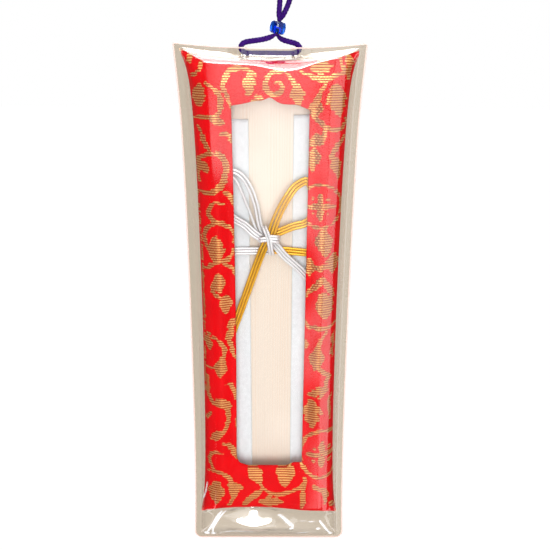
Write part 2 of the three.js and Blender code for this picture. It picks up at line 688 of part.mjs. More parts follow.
function cordLoop() {
  const top = LOOP_HEIGHT + CORD / 2;
  const places = [
    inBead(CORD_ENDS_GAP / 2, -STRAND_ASIDE), inBead(BEAD_MOUTH_AT, -STRAND_ASIDE),
    ...[
      [2.3, 8.2, -0.55], [2.5, 11.5, -0.3], [2.6, 16], [2.2, 22], [1, 29], [-0.6, 36], [-2.3, top - 10.8],
      [-3.2, top - 6.3], [-2.9, top - 2.8], [-1.6, top - 0.6], [0, top], [1.7, top - 0.6], [3.1, top - 2.8],
      [3.9, top - 6.3], [4.6, top - 10.8], [5.5, 36], [6.2, 29], [6.4, 22], [6, 16], [5, 11.5, 0.3], [3.5, 8.2, 0.55],
    ].map(onCord),
    inBead(BEAD_MOUTH_AT, STRAND_ASIDE), inBead(CORD_ENDS_GAP / 2, STRAND_ASIDE),
  ];
  return cordTube(places, LOOP_STEPS);
}

// Bead: a barrel with a round bore and eased edges, on a leaning axis
function bead() {
  const half = BEAD_HEIGHT / 2;
  const rim = BEAD_BORE_RADIUS + BEAD_RIM_SHARE * BEAD_WALL;
  const swell = BEAD_BORE_RADIUS + BEAD_WALL - rim;
  const profile = [new THREE.Vector2(BEAD_BORE_RADIUS, 0)];
  for (let i = 0; i <= BEAD_STEPS; i += 1) {
    const angle = Math.PI * (i / BEAD_STEPS - 0.5);
    profile.push(new THREE.Vector2(rim + swell * Math.cos(angle) ** BEAD_ROUNDNESS, half * Math.sin(angle)));
  }
  profile.push(profile[0].clone());
  return new THREE.LatheGeometry(profile, BEAD_SIDES).rotateX(Math.PI / 2);
}

const finish = {
  film: { color: 0xd8d4c4, roughness: 0.08, metalness: 0, transparent: true, opacity: 0.35 },
  brocade: { color: 0xc8161d, roughness: 0.55, metalness: 0 },
  wadding: { color: 0xf2efe6, roughness: 1, metalness: 0 },
  thread: { color: 0xd8b45a, roughness: 0.6, metalness: 0 },
  card: { color: 0xe6e2d6, roughness: 0.9, metalness: 0 },
  wood: { color: 0xeadcc0, roughness: 0.65, metalness: 0 },
  paper: { color: 0xf7f7f5, roughness: 0.9, metalness: 0 },
  silver: { color: 0xcfd2d6, roughness: 0.3, metalness: 0.9 },
  gold: { color: 0xc99a2c, roughness: 0.3, metalness: 0.9 },
  cord: { color: 0x45209a, roughness: 0.6, metalness: 0 },
  bead: { color: 0x2036c0, roughness: 0.1, metalness: 0 },
};

const charm = new THREE.Group();

function add(name, geometry, look) {
  const mesh = new THREE.Mesh(geometry, new THREE.MeshStandardMaterial(finish[look]));
  mesh.name = name;
  charm.add(mesh);
  return mesh;
}

add("case_front_film", frontFilm(), "film");
add("case_rear_film", rearFilm(), "film");
add("brocade_front_panel", frontPanel(), "brocade");
add("brocade_back_panel", backPanel(), "brocade");
add("padding_frame", paddingFrame(), "wadding");
add("seam_thread", seamThread(), "thread");
add("backing_card", backingCard(), "card");
add("wooden_slip", woodenSlip(), "wood");
add("paper_wrap", paperWrap(), "paper");
add("belt_silver", belt(-1), "silver");
add("belt_gold", belt(1), "gold");
add("bow_silver", bowSilver(), "silver");
add("bow_gold", bowGold(), "gold");
add("knot_wrap", knotWrap(), "silver");
add("cord_bridle", cordBridle(), "cord");
add("cord_loop", cordLoop(), "cord");
const beadMesh = add("bead", bead(), "bead");
beadMesh.position.copy(BEAD_CENTRE);
beadMesh.rotation.y = BEAD_LEAN;

export default charm;
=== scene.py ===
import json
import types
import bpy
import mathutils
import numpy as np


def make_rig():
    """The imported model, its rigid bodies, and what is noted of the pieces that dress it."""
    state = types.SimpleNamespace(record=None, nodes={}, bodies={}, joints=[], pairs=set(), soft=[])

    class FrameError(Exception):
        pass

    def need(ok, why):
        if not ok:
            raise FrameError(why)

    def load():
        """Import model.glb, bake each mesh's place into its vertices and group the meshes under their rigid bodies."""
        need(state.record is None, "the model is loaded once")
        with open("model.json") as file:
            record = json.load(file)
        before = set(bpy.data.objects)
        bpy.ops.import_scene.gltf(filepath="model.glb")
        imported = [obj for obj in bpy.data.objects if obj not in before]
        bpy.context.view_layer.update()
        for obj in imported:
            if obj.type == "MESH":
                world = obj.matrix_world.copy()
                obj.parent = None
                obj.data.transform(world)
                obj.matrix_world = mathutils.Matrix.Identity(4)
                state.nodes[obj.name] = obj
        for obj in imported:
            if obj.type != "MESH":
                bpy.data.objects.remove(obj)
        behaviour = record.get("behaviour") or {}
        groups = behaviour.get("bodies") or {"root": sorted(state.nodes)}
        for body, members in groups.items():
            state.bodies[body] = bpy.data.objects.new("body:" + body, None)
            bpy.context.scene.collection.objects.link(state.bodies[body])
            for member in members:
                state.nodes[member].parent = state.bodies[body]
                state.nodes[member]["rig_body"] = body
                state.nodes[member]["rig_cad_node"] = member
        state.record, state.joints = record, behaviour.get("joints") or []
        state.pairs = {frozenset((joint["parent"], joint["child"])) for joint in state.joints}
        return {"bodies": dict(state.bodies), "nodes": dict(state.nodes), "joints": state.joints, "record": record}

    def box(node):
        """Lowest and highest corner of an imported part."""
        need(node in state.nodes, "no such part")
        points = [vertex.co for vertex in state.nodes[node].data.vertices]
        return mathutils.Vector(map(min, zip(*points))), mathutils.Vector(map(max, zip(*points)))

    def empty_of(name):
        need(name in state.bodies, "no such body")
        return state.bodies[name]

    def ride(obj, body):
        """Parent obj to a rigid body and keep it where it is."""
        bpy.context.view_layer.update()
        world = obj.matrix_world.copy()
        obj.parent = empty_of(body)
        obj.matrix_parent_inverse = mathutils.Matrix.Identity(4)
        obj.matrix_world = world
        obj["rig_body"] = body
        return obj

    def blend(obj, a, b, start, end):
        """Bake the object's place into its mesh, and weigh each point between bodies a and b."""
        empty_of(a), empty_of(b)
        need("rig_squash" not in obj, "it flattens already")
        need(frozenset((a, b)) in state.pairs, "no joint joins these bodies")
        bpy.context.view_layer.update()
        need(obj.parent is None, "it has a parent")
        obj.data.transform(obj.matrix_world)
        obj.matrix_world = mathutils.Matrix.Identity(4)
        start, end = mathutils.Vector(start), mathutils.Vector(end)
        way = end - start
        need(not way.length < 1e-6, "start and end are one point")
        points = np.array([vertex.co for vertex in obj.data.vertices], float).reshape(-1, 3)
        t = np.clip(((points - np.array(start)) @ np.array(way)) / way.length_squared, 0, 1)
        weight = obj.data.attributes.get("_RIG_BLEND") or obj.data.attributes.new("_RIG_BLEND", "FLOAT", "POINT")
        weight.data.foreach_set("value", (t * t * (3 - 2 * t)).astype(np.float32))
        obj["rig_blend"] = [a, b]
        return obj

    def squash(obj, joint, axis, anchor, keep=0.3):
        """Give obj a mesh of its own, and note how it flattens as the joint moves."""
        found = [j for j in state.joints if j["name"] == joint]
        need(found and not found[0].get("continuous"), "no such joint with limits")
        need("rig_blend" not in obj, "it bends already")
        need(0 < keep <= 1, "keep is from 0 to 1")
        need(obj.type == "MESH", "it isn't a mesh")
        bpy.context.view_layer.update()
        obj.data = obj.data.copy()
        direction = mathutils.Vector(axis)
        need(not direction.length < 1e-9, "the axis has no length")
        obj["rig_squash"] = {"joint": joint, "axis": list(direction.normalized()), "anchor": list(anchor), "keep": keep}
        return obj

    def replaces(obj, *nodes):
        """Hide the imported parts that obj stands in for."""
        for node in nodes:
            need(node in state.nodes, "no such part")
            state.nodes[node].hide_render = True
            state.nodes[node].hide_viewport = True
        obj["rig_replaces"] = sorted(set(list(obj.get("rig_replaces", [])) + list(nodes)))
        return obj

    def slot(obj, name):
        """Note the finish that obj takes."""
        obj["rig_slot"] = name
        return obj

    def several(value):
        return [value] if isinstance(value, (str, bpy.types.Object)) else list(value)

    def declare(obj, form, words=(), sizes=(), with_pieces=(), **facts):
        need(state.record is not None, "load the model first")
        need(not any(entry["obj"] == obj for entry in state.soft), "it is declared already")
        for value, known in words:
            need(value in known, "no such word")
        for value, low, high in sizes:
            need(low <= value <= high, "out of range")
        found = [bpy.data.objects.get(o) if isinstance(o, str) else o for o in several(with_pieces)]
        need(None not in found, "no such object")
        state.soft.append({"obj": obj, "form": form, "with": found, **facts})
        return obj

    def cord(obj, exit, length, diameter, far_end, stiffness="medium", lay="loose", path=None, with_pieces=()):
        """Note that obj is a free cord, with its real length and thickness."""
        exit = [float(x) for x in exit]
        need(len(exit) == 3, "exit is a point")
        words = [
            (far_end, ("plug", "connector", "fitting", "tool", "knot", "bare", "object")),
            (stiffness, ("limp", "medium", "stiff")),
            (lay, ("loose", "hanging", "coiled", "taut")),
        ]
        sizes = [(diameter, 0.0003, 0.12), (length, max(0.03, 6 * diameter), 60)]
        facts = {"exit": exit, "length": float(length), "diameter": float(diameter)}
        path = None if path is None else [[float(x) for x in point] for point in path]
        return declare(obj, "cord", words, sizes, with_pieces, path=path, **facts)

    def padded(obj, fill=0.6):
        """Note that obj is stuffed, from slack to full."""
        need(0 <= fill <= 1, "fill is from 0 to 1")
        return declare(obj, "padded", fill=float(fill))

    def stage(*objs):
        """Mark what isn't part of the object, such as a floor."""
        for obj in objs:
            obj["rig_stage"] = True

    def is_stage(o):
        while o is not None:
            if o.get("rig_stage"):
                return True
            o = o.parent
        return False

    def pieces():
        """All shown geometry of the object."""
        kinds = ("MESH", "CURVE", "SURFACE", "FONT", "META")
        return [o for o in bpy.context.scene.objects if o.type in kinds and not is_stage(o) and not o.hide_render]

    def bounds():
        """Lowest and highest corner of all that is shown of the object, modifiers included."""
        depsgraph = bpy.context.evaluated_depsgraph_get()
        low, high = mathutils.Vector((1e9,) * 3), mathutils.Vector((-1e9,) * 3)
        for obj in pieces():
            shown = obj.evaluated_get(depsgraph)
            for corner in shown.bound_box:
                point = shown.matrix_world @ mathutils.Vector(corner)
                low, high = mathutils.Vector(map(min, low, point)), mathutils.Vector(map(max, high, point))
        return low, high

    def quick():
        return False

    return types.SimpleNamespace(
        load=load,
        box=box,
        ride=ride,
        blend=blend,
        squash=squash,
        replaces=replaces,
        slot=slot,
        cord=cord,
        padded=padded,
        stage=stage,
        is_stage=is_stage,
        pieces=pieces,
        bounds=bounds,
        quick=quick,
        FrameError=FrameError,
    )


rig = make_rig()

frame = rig.load()

import json
import math

import bpy
import numpy as np
from mathutils import Matrix

bl_info = {
    "name": "Omamori charm",
    "version": (1, 0, 0),
    "blender": (4, 5, 0),
    "location": "3D View > Sidebar > Charm",
    "description": "Dresses the charm with film, brocade, paper cord, wood, braid and glass",
    "category": "Object",
}

MM = 0.001
CAD_BOX = [list(corner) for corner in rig.bounds()]
SIZE_FILE = "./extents.json"


def box_mm(node):
    """Lowest and highest corner of a CAD node, in millimetres"""
    low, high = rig.box(node)
    return np.array(low) / MM, np.array(high) / MM


# Places from the frame, in millimetres
FRONT_FILM_LOW, FRONT_FILM_HIGH = box_mm("case_front_film")
REAR_FILM_HIGH = box_mm("case_rear_film")[1]
FRONT_PANEL_LOW = box_mm("brocade_front_panel")[0]
BACK_PANEL_LOW, BACK_PANEL_HIGH = box_mm("brocade_back_panel")
SLIP_LOW, SLIP_HIGH = box_mm("wooden_slip")
PAPER_LOW, PAPER_HIGH = box_mm("paper_wrap")
BELT_LOW, BELT_HIGH = box_mm("belt_gold")
BEAD_LOW, BEAD_HIGH = box_mm("bead")
CASE_TOP = FRONT_FILM_HIGH[2]
CASE_BOTTOM = FRONT_FILM_LOW[2]
CUSHION_TOP = BACK_PANEL_HIGH[2]
CUSHION_BOTTOM = BACK_PANEL_LOW[2]
CROWN_FRONT = -FRONT_PANEL_LOW[1]
CROWN_BACK = BACK_PANEL_HIGH[1]
FILM_FRONT = -FRONT_FILM_LOW[1]
FILM_BACK = REAR_FILM_HIGH[1]
BEAD_CENTRE = (BEAD_LOW + BEAD_HIGH) / 2

# Case, in millimetres
CASE_WIDTH = 52
CASE_DRAW_IN = 1.6
CASE_DRAW_TOP = 26
CASE_FLARE_TOP = 0.5
CASE_FLARE_REACH = 14
CASE_DRAW_BOTTOM = 28
CASE_TOP_RADIUS = 0.8
CASE_BOTTOM_RADIUS = 3
TOP_CORNERS_UP = 1.1
TOP_MIDDLE_DOWN = 0.15
TOP_CURVE = 2.2
FILM = 0.22
FILM_SKIN = 0.9 * FILM
WELD_SIDE = 2.2
WELD_BOTTOM = 1.2
WELD_TOP = 1.2
WELD_TOP_MIDDLE = 0.9
FILM_RISE_SIDE = 6.5
FILM_RISE_TOP = 1.8
FILM_RISE_TOP_TILT = 0.03
FILM_RISE_TOP_MIDDLE = 2
FILM_RISE_MIDDLE_X = 5
FILM_RISE_MIDDLE_REACH = 6.5
FILM_RISE_BOTTOM = 16
FILM_FULLNESS = 0.8
FILM_EASE = 8
FILM_COLUMNS = 120
FILM_ROWS = 250
FILM_CROWDING_SIDE = 0.2
FILM_CROWDING_END = 0.75
FILM_CLEAR = 0.45
FRONT_SHININESS = 0.075
FRONT_ROUGHNESS = 0.1
REAR_SHININESS = 0.015
REAR_ROUGHNESS = 0.25
REAR_SLACK = 0.4
SLACK_EASE = 3
# A wave of the slack film: height, shares of x and z, length and start
FILM_WAVES = [(0.13, 0.8, 1, 37, 0), (0.09, 1, -0.35, 26, 1)]
PORT_X = 7.85
PORT_MIDDLE = 7.62
PORT_WIDTH = 2.56
PORT_DEPTH = 2.85
PORT_LIP = 1.05
PORT_LIP_REACH = 1.6
PORT_LIP_BELOW = 7
PORT_LIP_EASE = 3
DRAPE = 0.95
DRAPE_BELOW = 2.2
DRAPE_EASE = 1.4
DRAPE_PAST = 2.6
DRAPE_EASE_SIDE = 2
TAB_GAP = 0.015
TAB_COLUMNS = 14
TAB_ROWS = 20

# Empty pocket of the case below the cushion, in millimetres
POCKET_TOP = 0.4
POCKET_X = -5.2
POCKET_HALF = 7.5
DENT = 0.5
DENT_MIDDLE = 3.3
DENT_REACH_UP = 1.9
DENT_REACH_DOWN = 3.2
RIDGE = 0.2
RIDGE_MIDDLE = 1.6
RIDGE_DOWN = 5.6
RIDGE_REACH = 2.3
HOOK = 0.8
HOOK_X = 6.6
HOOK_WIDTH = 2.2
HOOK_DOWN = 4
HOOK_HEIGHT = 2.6
# How high up, how white and how soft the painted highlight streaks on the pocket's film are
GLARE_ABOVE = 14
GLARE_WHITE = 0.85
GLARE_EASE = 0.3

# Cushion, in millimetres
CUSHION_WAIST_HALF = 20.4
CUSHION_FLARE = 4
CUSHION_FLARE_REACH = 22
CUSHION_EAR_TOP = 1.7
CUSHION_EAR_BOTTOM = 0.85
CUSHION_EAR_REACH = 4
CUSHION_EAR_LIFT = 1.1
CUSHION_TOP_SAG = 1.8
CUSHION_BOTTOM_SAG = 2.1
BOTTOM_SAG_LOSS = 0.65
BOTTOM_SAG_FROM = -2
BOTTOM_SAG_OVER = 16
EAR_CURVE = 6
SAG_CURVE = 4
CROWN_REACH = 7
CROWN_EASE = 3
SEAM_HALF = 0.25
CLOTH = 0.22
WINDOW_LEFT = -10.9
WINDOW_LEFT_BOW = 0.4
WINDOW_RIGHT = 11.15
WINDOW_RIGHT_DRIFT = -0.1
WINDOW_TOP = CUSHION_TOP - 14.3
WINDOW_BOTTOM = CUSHION_BOTTOM + 20.3
WINDOW_CORNER = 1.8
WINDOW_CORNER_REACH = 4.5
WINDOW_ARCH = 1.5
WINDOW_ARCH_FOOT = 0.45
WINDOW_ARCH_X = -2
WINDOW_ARCH_HALF = 11.5
WINDOW_PEAK = 1.45
WINDOW_PEAK_HALF = 1.8
# Height, place and reach of each shoulder, and of each corner that is drawn up
WINDOW_SHOULDERS = [(0.5, -4, 2.2), (0.45, 7.5, 2)]
WINDOW_DRAWN_LEFT = (0.9, -6.5, 2.5)
WINDOW_DRAWN_RIGHT = (1.2, 5.5, 3)
LIP_DROP = 1.6
LIP_WIDTH = 5
HEM_FOLD = 0.62
HEM_WIDTH = 2.4
HEM_STEP = 0.3
ACROSS = 28
DOWN = 88
AROUND = 2 * (ACROSS + DOWN)
END_CROWDING = 0.2
RINGS = 11
RING_CROWDING = 1.6
BACK_COLUMNS = 96
BACK_ROWS = 300
BACK_CROWDING_SIDE = 0.15
BACK_CROWDING_END = 0.5
RIPPLE = 0.12
RIPPLE_LEAN = 0.6
RIPPLE_LENGTH = 23
WEFT_REACH = 390
CLOTH_STEEP = CROWN_REACH - 0.5
CLOTH_OVER = 1.6
CLOTH_FOOT = 8
CLOTH_FOOT_TURN = 0.04
WHOLE_FOLD = 10.4
SIM_SCALE = 20
SIM_FRAMES = 20
SIM_CAP = 0.5
SIM_CLOTH = {
    "quality": 6, "mass": 0.3, "tension_stiffness": 20, "compression_stiffness": 20,
    "bending_stiffness": 0.6, "air_damping": 6, "shrink_min": -0.05, "use_pressure": True,
    "uniform_pressure_force": 3,
}
PIN_REACH = 0.05
PIN_DEPTH = 0.1

# Wadding and seam, in millimetres
WADDING_CLEAR = 1.5
WADDING_CLEAR_END = 0.6
WADDING_INSET = 2.5
WADDING_FRONT = 0.7
WADDING_BACK = 0.8
WADDING_CURVE = 0.6
WADDING_SIDES = 24
FLUFF = 0.12
STITCH = 1.4
STITCH_PITCH = 1.8
STITCH_SLANT = 0.45
STITCH_DEPTH = 0.42
STITCH_OUT = 0.38
THREAD = 0.12
THREAD_SIDES = 6

# Slip and paper, in millimetres
SLIP_BEVEL = 0.12
PAPER = 0.14
PAPER_CORNER = 0.35
PAPER_STEP = 0.45
PAPER_ROWS = 90
PAPER_DOWN = 1.2
BARE_HALF = 6.35
FLAP_LIFT = 0.12
FLAP_BEND = 2.4
FLAP_DEPTH = 0.3
FLAP_MIDDLE = 8
FLAP_SLOPE = 0.02
FLAP_DOWN_LEFT = 3.2
FLAP_DOWN_RIGHT = 1.9
FLAP_DRIFT = 0.25
FLAP_DRIFT_DOWN = 0.45
FLAP_WAVE = 0.05
FLAP_WAVE_LENGTH = 31

# Paper cord, in millimetres
STRAND = 0.85
LAYER = 0.95
BELT_FRONT = BELT_LOW[1] + STRAND / 2
BELT_BACK = BELT_HIGH[1] - STRAND / 2
BELT_Z = (BELT_LOW[2] + BELT_HIGH[2]) / 2 - 0.9
BELT_OUT = BELT_HIGH[0] - STRAND / 2
BELT_TURN = 0.9
BELT_END = 0.25
BELT_WAVER_GOLD = 0.5
BELT_WAVER_SILVER = 0.1
UNDER = BELT_FRONT - LAYER
OVER = UNDER - LAYER
WRAP = OVER - LAYER
KNOT_X = -0.7
KNOT_Z = WINDOW_TOP - 38.2
STRAND_SIDES = 12
STRAND_STEP = 0.45
BAND_STRANDS = 3
STRAND_PACKING = 0.98
STRAND_ROUND = 0.96
STRAND_WAVER = 0.1
STRAY_SILVER = 1.6
STRAY_GOLD = 0.2
STRAY_FROM = 0.3
STRAY_OVER = 0.42
SILVER_METAL = 0.25
GOLD_METAL = 0.45
CURVE_STEPS = 24

# Hanging cord and bead, in millimetres
CORD = 1.6
CORD_IN_BEAD = 1
CORD_SQUEEZE_REACH = 2
CROSSING = 1.7
STRAND_ASIDE = 0.62
CORD_ENDS = 0.2
BEAD_LEAN = math.radians(12)
BEAD_AXIS = np.array([math.sin(BEAD_LEAN), 0, math.cos(BEAD_LEAN)])
BEAD_HEIGHT = 3.3
BEAD_WIDTH = 4.5
BEAD_BORE = 2.6
BEAD_MOUTH = 1.4
BEAD_EDGE = 0.12
BEAD_CURVE = 0.95
BEAD_SIDES = 64
BEAD_STEPS = 28
LOOP_HEIGHT = -CASE_TOP
BRAID_PITCH = 3.6
BRAID_YARNS = 4
BRAID_STEP = 0.16
# Radii of the braid's core and yarns and how far out the yarns lie, as shares of the cord's radius
CORE = 0.52
CORE_SIDES = 8
YARN = 0.27
YARN_OUT = 0.62
YARN_WEAVE = 0.1
YARN_FLATNESS = 1.55
YARN_SIDES = 7

# Camera, fitted to the photograph's frame of 550 by 550
LENS = 45.587
CAMERA_PLACE = (0.0002, -0.19845, -0.04527)
CAMERA_TILT = math.radians(69.915)
CAMERA_ROLL = math.radians(0.343)
CAMERA_YAW = math.radians(-0.42)

# Softboxes, flags and floor, in metres
BOX_WIDTH = 0.22
BOX_FRONT = -0.5
BOX_BACK = 0.4
BOX_LOW = -0.03
BOX_HIGH = 0.35
STRIP_TALL = 0.36
FLAG_OUT = 0.42
FLAG_TOP = -0.035
FLAG_BACK = 0.3
FLAG_DARK = (0.01, 0.01, 0.01)
FLOOR_SIZE = 12
FLOOR_GLOW = 1.06
FLOOR_SEEN = 0.93


# Properties

def colour(name, description, default):
    return bpy.props.FloatVectorProperty(
        name=name, description=description, default=default, subtype="COLOR", size=3, min=0, max=1)


def size(name, description, default):
    return bpy.props.FloatProperty(
        name=name, description=description, default=default, subtype="DISTANCE", unit="LENGTH")


def level(name, description, default, unit="NONE"):
    return bpy.props.FloatProperty(name=name, description=description, default=default, unit=unit, min=0)


class FilmLook(bpy.types.PropertyGroup):
    """The clear film case"""
    front_tint: colour("Front tint", "What the front film lets through", (0.985, 0.983, 0.98))
    rear_tint: colour("Rear tint", "What the smoky rear film lets through", (0.825, 0.762, 0.68))
    rim: colour("Rim", "The pale cut edge of the weld", (0.92, 0.72, 0.66))
    # Painted highlight: the white of the glare streaks painted on the pocket's film
    painted_glare: colour("Painted glare", "White of the painted highlight streaks on the pocket's film", (0.95, 0.95, 0.95))
    rim_width: size("Rim width", "How far the pale edge reaches in", 0.5 * MM)


class BrocadeLook(bpy.types.PropertyGroup):
    """The woven cloth of the cushion"""
    ground: colour("Ground", "The red satin ground", (0.78, 0.002, 0.005))
    gold: colour("Gold", "The gold weft of the scrolls", (0.84, 0.44, 0.14))
    # Partly the red ground, partly painted shade between the raised gold wefts
    gap: colour("Gap", "The ground seen between gold wefts, darkened as painted shade", (0.4, 0.025, 0.01))
    tie: colour("Tie", "The fine threads that tie the gold down", (0.76, 0.42, 0.16))
    weft: size("Weft", "Distance from one gold weft to the next", 0.64 * MM)


class BowLook(bpy.types.PropertyGroup):
    """The foil of the paper cord"""
    silver: colour("Silver", "The silver foil", (0.95, 0.95, 0.97))
    gold: colour("Gold", "The gold foil", (1, 0.57, 0.045))
    winding: size("Winding", "Distance from one turn of the foil to the next", 0.55 * MM)


class SlipLook(bpy.types.PropertyGroup):
    """The wooden slip and its paper"""
    wood: colour("Wood", "The planed pale wood", (0.79, 0.715, 0.625))
    grain: colour("Grain", "The darker lines of the grain", (0.76, 0.62, 0.49))
    paper: colour("Paper", "The white wrapping paper", (0.755, 0.8, 0.825))


class CordLook(bpy.types.PropertyGroup):
    """The hanging cord and its bead"""
    fibre: colour("Fibre", "The violet fibre of the braid", (0.03, 0.002, 0.12))
    sheen: colour("Sheen", "The fibre where it catches light", (0.22, 0.08, 0.75))
    glass: colour("Glass", "The blue glass of the bead", (0.01, 0.09, 0.5))


class StageLook(bpy.types.PropertyGroup):
    """Lamps and floor"""
    key: level("Key", "Radiance of the front and overhead softboxes", 3.76)
    fill: level("Fill", "Power of the lamp behind the charm", 4, "POWER")
    low: level("Low fill", "Power of the lamp low in front of the charm", 5.2, "POWER")
    strip: level("Strip", "Radiance of the strip lamp that only reflections see", 6.6)
    world: level("World", "Strength of the white surroundings as light on the object", 0.5)
    floor_drop: size("Floor", "How far the floor lies below the charm", 0.55)


LOOKS = {
    "charm_film": FilmLook, "charm_brocade": BrocadeLook, "charm_bow": BowLook, "charm_slip": SlipLook,
    "charm_cord": CordLook, "charm_stage": StageLook,
}


def look(name):
    return getattr(bpy.context.scene, name)


# Shader maths

class Field:
    """A number on a surface: a socket whose maths reads as plain expressions"""

    def __init__(self, finish, socket):
        self.finish = finish
        self.socket = socket

    def math(self, operation, *values):
        node = self.finish.node("ShaderNodeMath", {"operation": operation}, dict(enumerate(values)))
        return Field(self.finish, node.outputs[0])

    def __add__(self, other):
        return self.math("ADD", self, other)

    def __radd__(self, other):
        return self.math("ADD", other, self)

    def __sub__(self, other):
        return self.math("SUBTRACT", self, other)

    def __rsub__(self, other):
        return self.math("SUBTRACT", other, self)

    def __mul__(self, other):
        return self.math("MULTIPLY", self, other)

    def __rmul__(self, other):
        return self.math("MULTIPLY", other, self)

    def __truediv__(self, other):
        return self.math("DIVIDE", self, other)

    def __pow__(self, other):
        return self.math("POWER", self, other)

    def fraction(self):
        return self.math("FRACT", self)

    def absolute(self):
        return self.math("ABSOLUTE", self)

    def ridge(self):
        """Rises from 0 to 1 and falls back in each whole turn"""
        return 1 - 2 * (self.fraction() - 0.5).absolute()

    def ramp(self, start, end):
        """0 before start and 1 after end, eased between"""
        values = {"Value": self, "From Min": start, "From Max": end}
        node = self.finish.node("ShaderNodeMapRange", {"interpolation_type": "SMOOTHSTEP"}, values)
        return Field(self.finish, node.outputs[0])


class Finish:
    """A material, or the surroundings, built from nodes"""

    def __init__(self, name, kind="materials"):
        self.owner = getattr(bpy.data, kind).new(name)
        self.owner.use_nodes = True
        self.tree = self.owner.node_tree
        self.tree.nodes.clear()

    def node(self, kind, settings=None, inputs=None):
        node = self.tree.nodes.new(kind)
        for key, value in (settings or {}).items():
            setattr(node, key, value)
        for key, value in (inputs or {}).items():
            if isinstance(value, Field):
                self.tree.links.new(value.socket, node.inputs[key])
            elif isinstance(value, bpy.types.NodeSocket):
                self.tree.links.new(value, node.inputs[key])
            elif hasattr(value, "__len__") and len(value) == 3 and node.inputs[key].type == "RGBA":
                node.inputs[key].default_value = (*value, 1)
            else:
                node.inputs[key].default_value = value
        return node

    def place(self, scale=(1, 1, 1), turn=(0, 0, 0)):
        """Object coordinates in millimetres, stretched and turned"""
        source = self.node("ShaderNodeTexCoord").outputs["Object"]
        values = {"Vector": source, "Scale": [s / MM for s in scale], "Rotation": turn}
        return self.node("ShaderNodeMapping", None, values).outputs[0]

    def object_axis(self, axis):
        source = self.node("ShaderNodeTexCoord").outputs["Object"]
        parts = self.node("ShaderNodeSeparateXYZ", None, {0: source})
        return Field(self, parts.outputs[axis]) / MM

    def uv(self, axis):
        source = self.node("ShaderNodeUVMap", {"uv_map": "UVMap"}).outputs[0]
        parts = self.node("ShaderNodeSeparateXYZ", None, {0: source})
        return Field(self, parts.outputs[axis])

    def attribute(self, name):
        return Field(self, self.node("ShaderNodeAttribute", {"attribute_name": name}).outputs["Fac"])

    def noise(self, place, scale, detail=2, roughness=0.5):
        values = {"Vector": place, "Scale": scale, "Detail": detail, "Roughness": roughness}
        return Field(self, self.node("ShaderNodeTexNoise", None, values).outputs[0])

    def vector(self, x, y, z):
        return self.node("ShaderNodeCombineXYZ", None, {0: x, 1: y, 2: z}).outputs[0]

    def mix(self, factor, first, second):
        values = {0: factor, 6: first, 7: second}
        return self.node("ShaderNodeMix", {"data_type": "RGBA"}, values).outputs[2]

    def blend(self, factor, first, second):
        """The second shader over the first"""
        return self.node("ShaderNodeMixShader", None, {0: factor, 1: first, 2: second}).outputs[0]

    def bump(self, height, distance, strength=1.0):
        values = {"Height": height, "Distance": distance * MM, "Strength": strength}
        return self.node("ShaderNodeBump", None, values).outputs[0]

    def principled(self, **values):
        named = {key.replace("_", " ").title(): value for key, value in values.items()}
        named = {key.replace("Ior", "IOR"): value for key, value in named.items()}
        return self.node("ShaderNodeBsdfPrincipled", None, named).outputs[0]

    def seen(self):
        """1 to the eye, in reflections and through glass, and 0 to other light"""
        path = self.node("ShaderNodeLightPath")
        seen = Field(self, path.outputs["Is Camera Ray"])
        for kind in ("Is Glossy Ray", "Is Transmission Ray"):
            seen = seen.math("MAXIMUM", seen, Field(self, path.outputs[kind]))
        return seen

    def done(self, shader, output="ShaderNodeOutputMaterial"):
        self.node(output, None, {"Surface": shader})
        return self.owner


# Meshes

def deselect():
    bpy.ops.object.select_all(action="DESELECT")


def activate(piece):
    deselect()
    piece.select_set(True)
    bpy.context.view_layer.objects.active = piece


def edit(*steps):
    """Runs edit-mode steps on the whole of the active mesh"""
    bpy.ops.object.mode_set(mode="EDIT")
    bpy.ops.mesh.select_mode(type="VERT")
    for step in steps:
        bpy.ops.mesh.select_all(action="SELECT")
        step()
    bpy.ops.object.mode_set(mode="OBJECT")


def read_points(piece):
    flat = np.empty(len(piece.data.vertices) * 3)
    piece.data.vertices.foreach_get("co", flat)
    return flat.reshape(-1, 3)


def write_points(piece, points):
    piece.data.vertices.foreach_set("co", np.asarray(points, float).ravel())
    piece.data.update()


def read_uv(piece):
    flat = np.empty(len(piece.data.loops) * 2)
    piece.data.uv_layers[0].data.foreach_get("uv", flat)
    return flat.reshape(-1, 2)


def write_uv(piece, uv):
    piece.data.uv_layers[0].data.foreach_set("uv", np.asarray(uv, float).ravel())


def loop_vertices(piece):
    found = np.empty(len(piece.data.loops), int)
    piece.data.loops.foreach_get("vertex_index", found)
    return found


def write_attribute(piece, name, values):
    attribute = piece.data.attributes.new(name, "FLOAT", "POINT")
    attribute.data.foreach_set("value", np.asarray(values, np.float32))


def rename(piece, name):
    piece.name = name
    piece.data.name = name
    return piece


def grid_piece(name, columns, rows, place):
    """A grid primitive whose points are put where place(u, v) says, in millimetres, u and v from 0 to 1"""
    deselect()
    bpy.ops.mesh.primitive_grid_add(x_subdivisions=columns, y_subdivisions=rows, size=2)
    piece = rename(bpy.context.object, name)
    points = read_points(piece)
    write_points(piece, place((points[:, 0] + 1) / 2, (points[:, 1] + 1) / 2) * MM)
    return piece


def box_piece(name, size_mm, centre):
    deselect()
    bpy.ops.mesh.primitive_cube_add(size=1)
    piece = rename(bpy.context.object, name)
    write_points(piece, (read_points(piece) * size_mm + centre) * MM)
    return piece


def close_seam():
    bpy.ops.mesh.remove_doubles(threshold=1e-7)


def fill_ends():
    bpy.ops.mesh.fill_holes(sides=0)


def smooth_shade(piece):
    activate(piece)
    bpy.ops.object.shade_smooth()


def modify(piece, kind, **settings):
    """Adds a modifier and applies it"""
    activate(piece)
    bpy.ops.object.modifier_add(type=kind)
    modifier = piece.modifiers[-1]
    for key, value in settings.items():
        setattr(modifier, key, value)
    bpy.ops.object.modifier_apply(modifier=modifier.name)


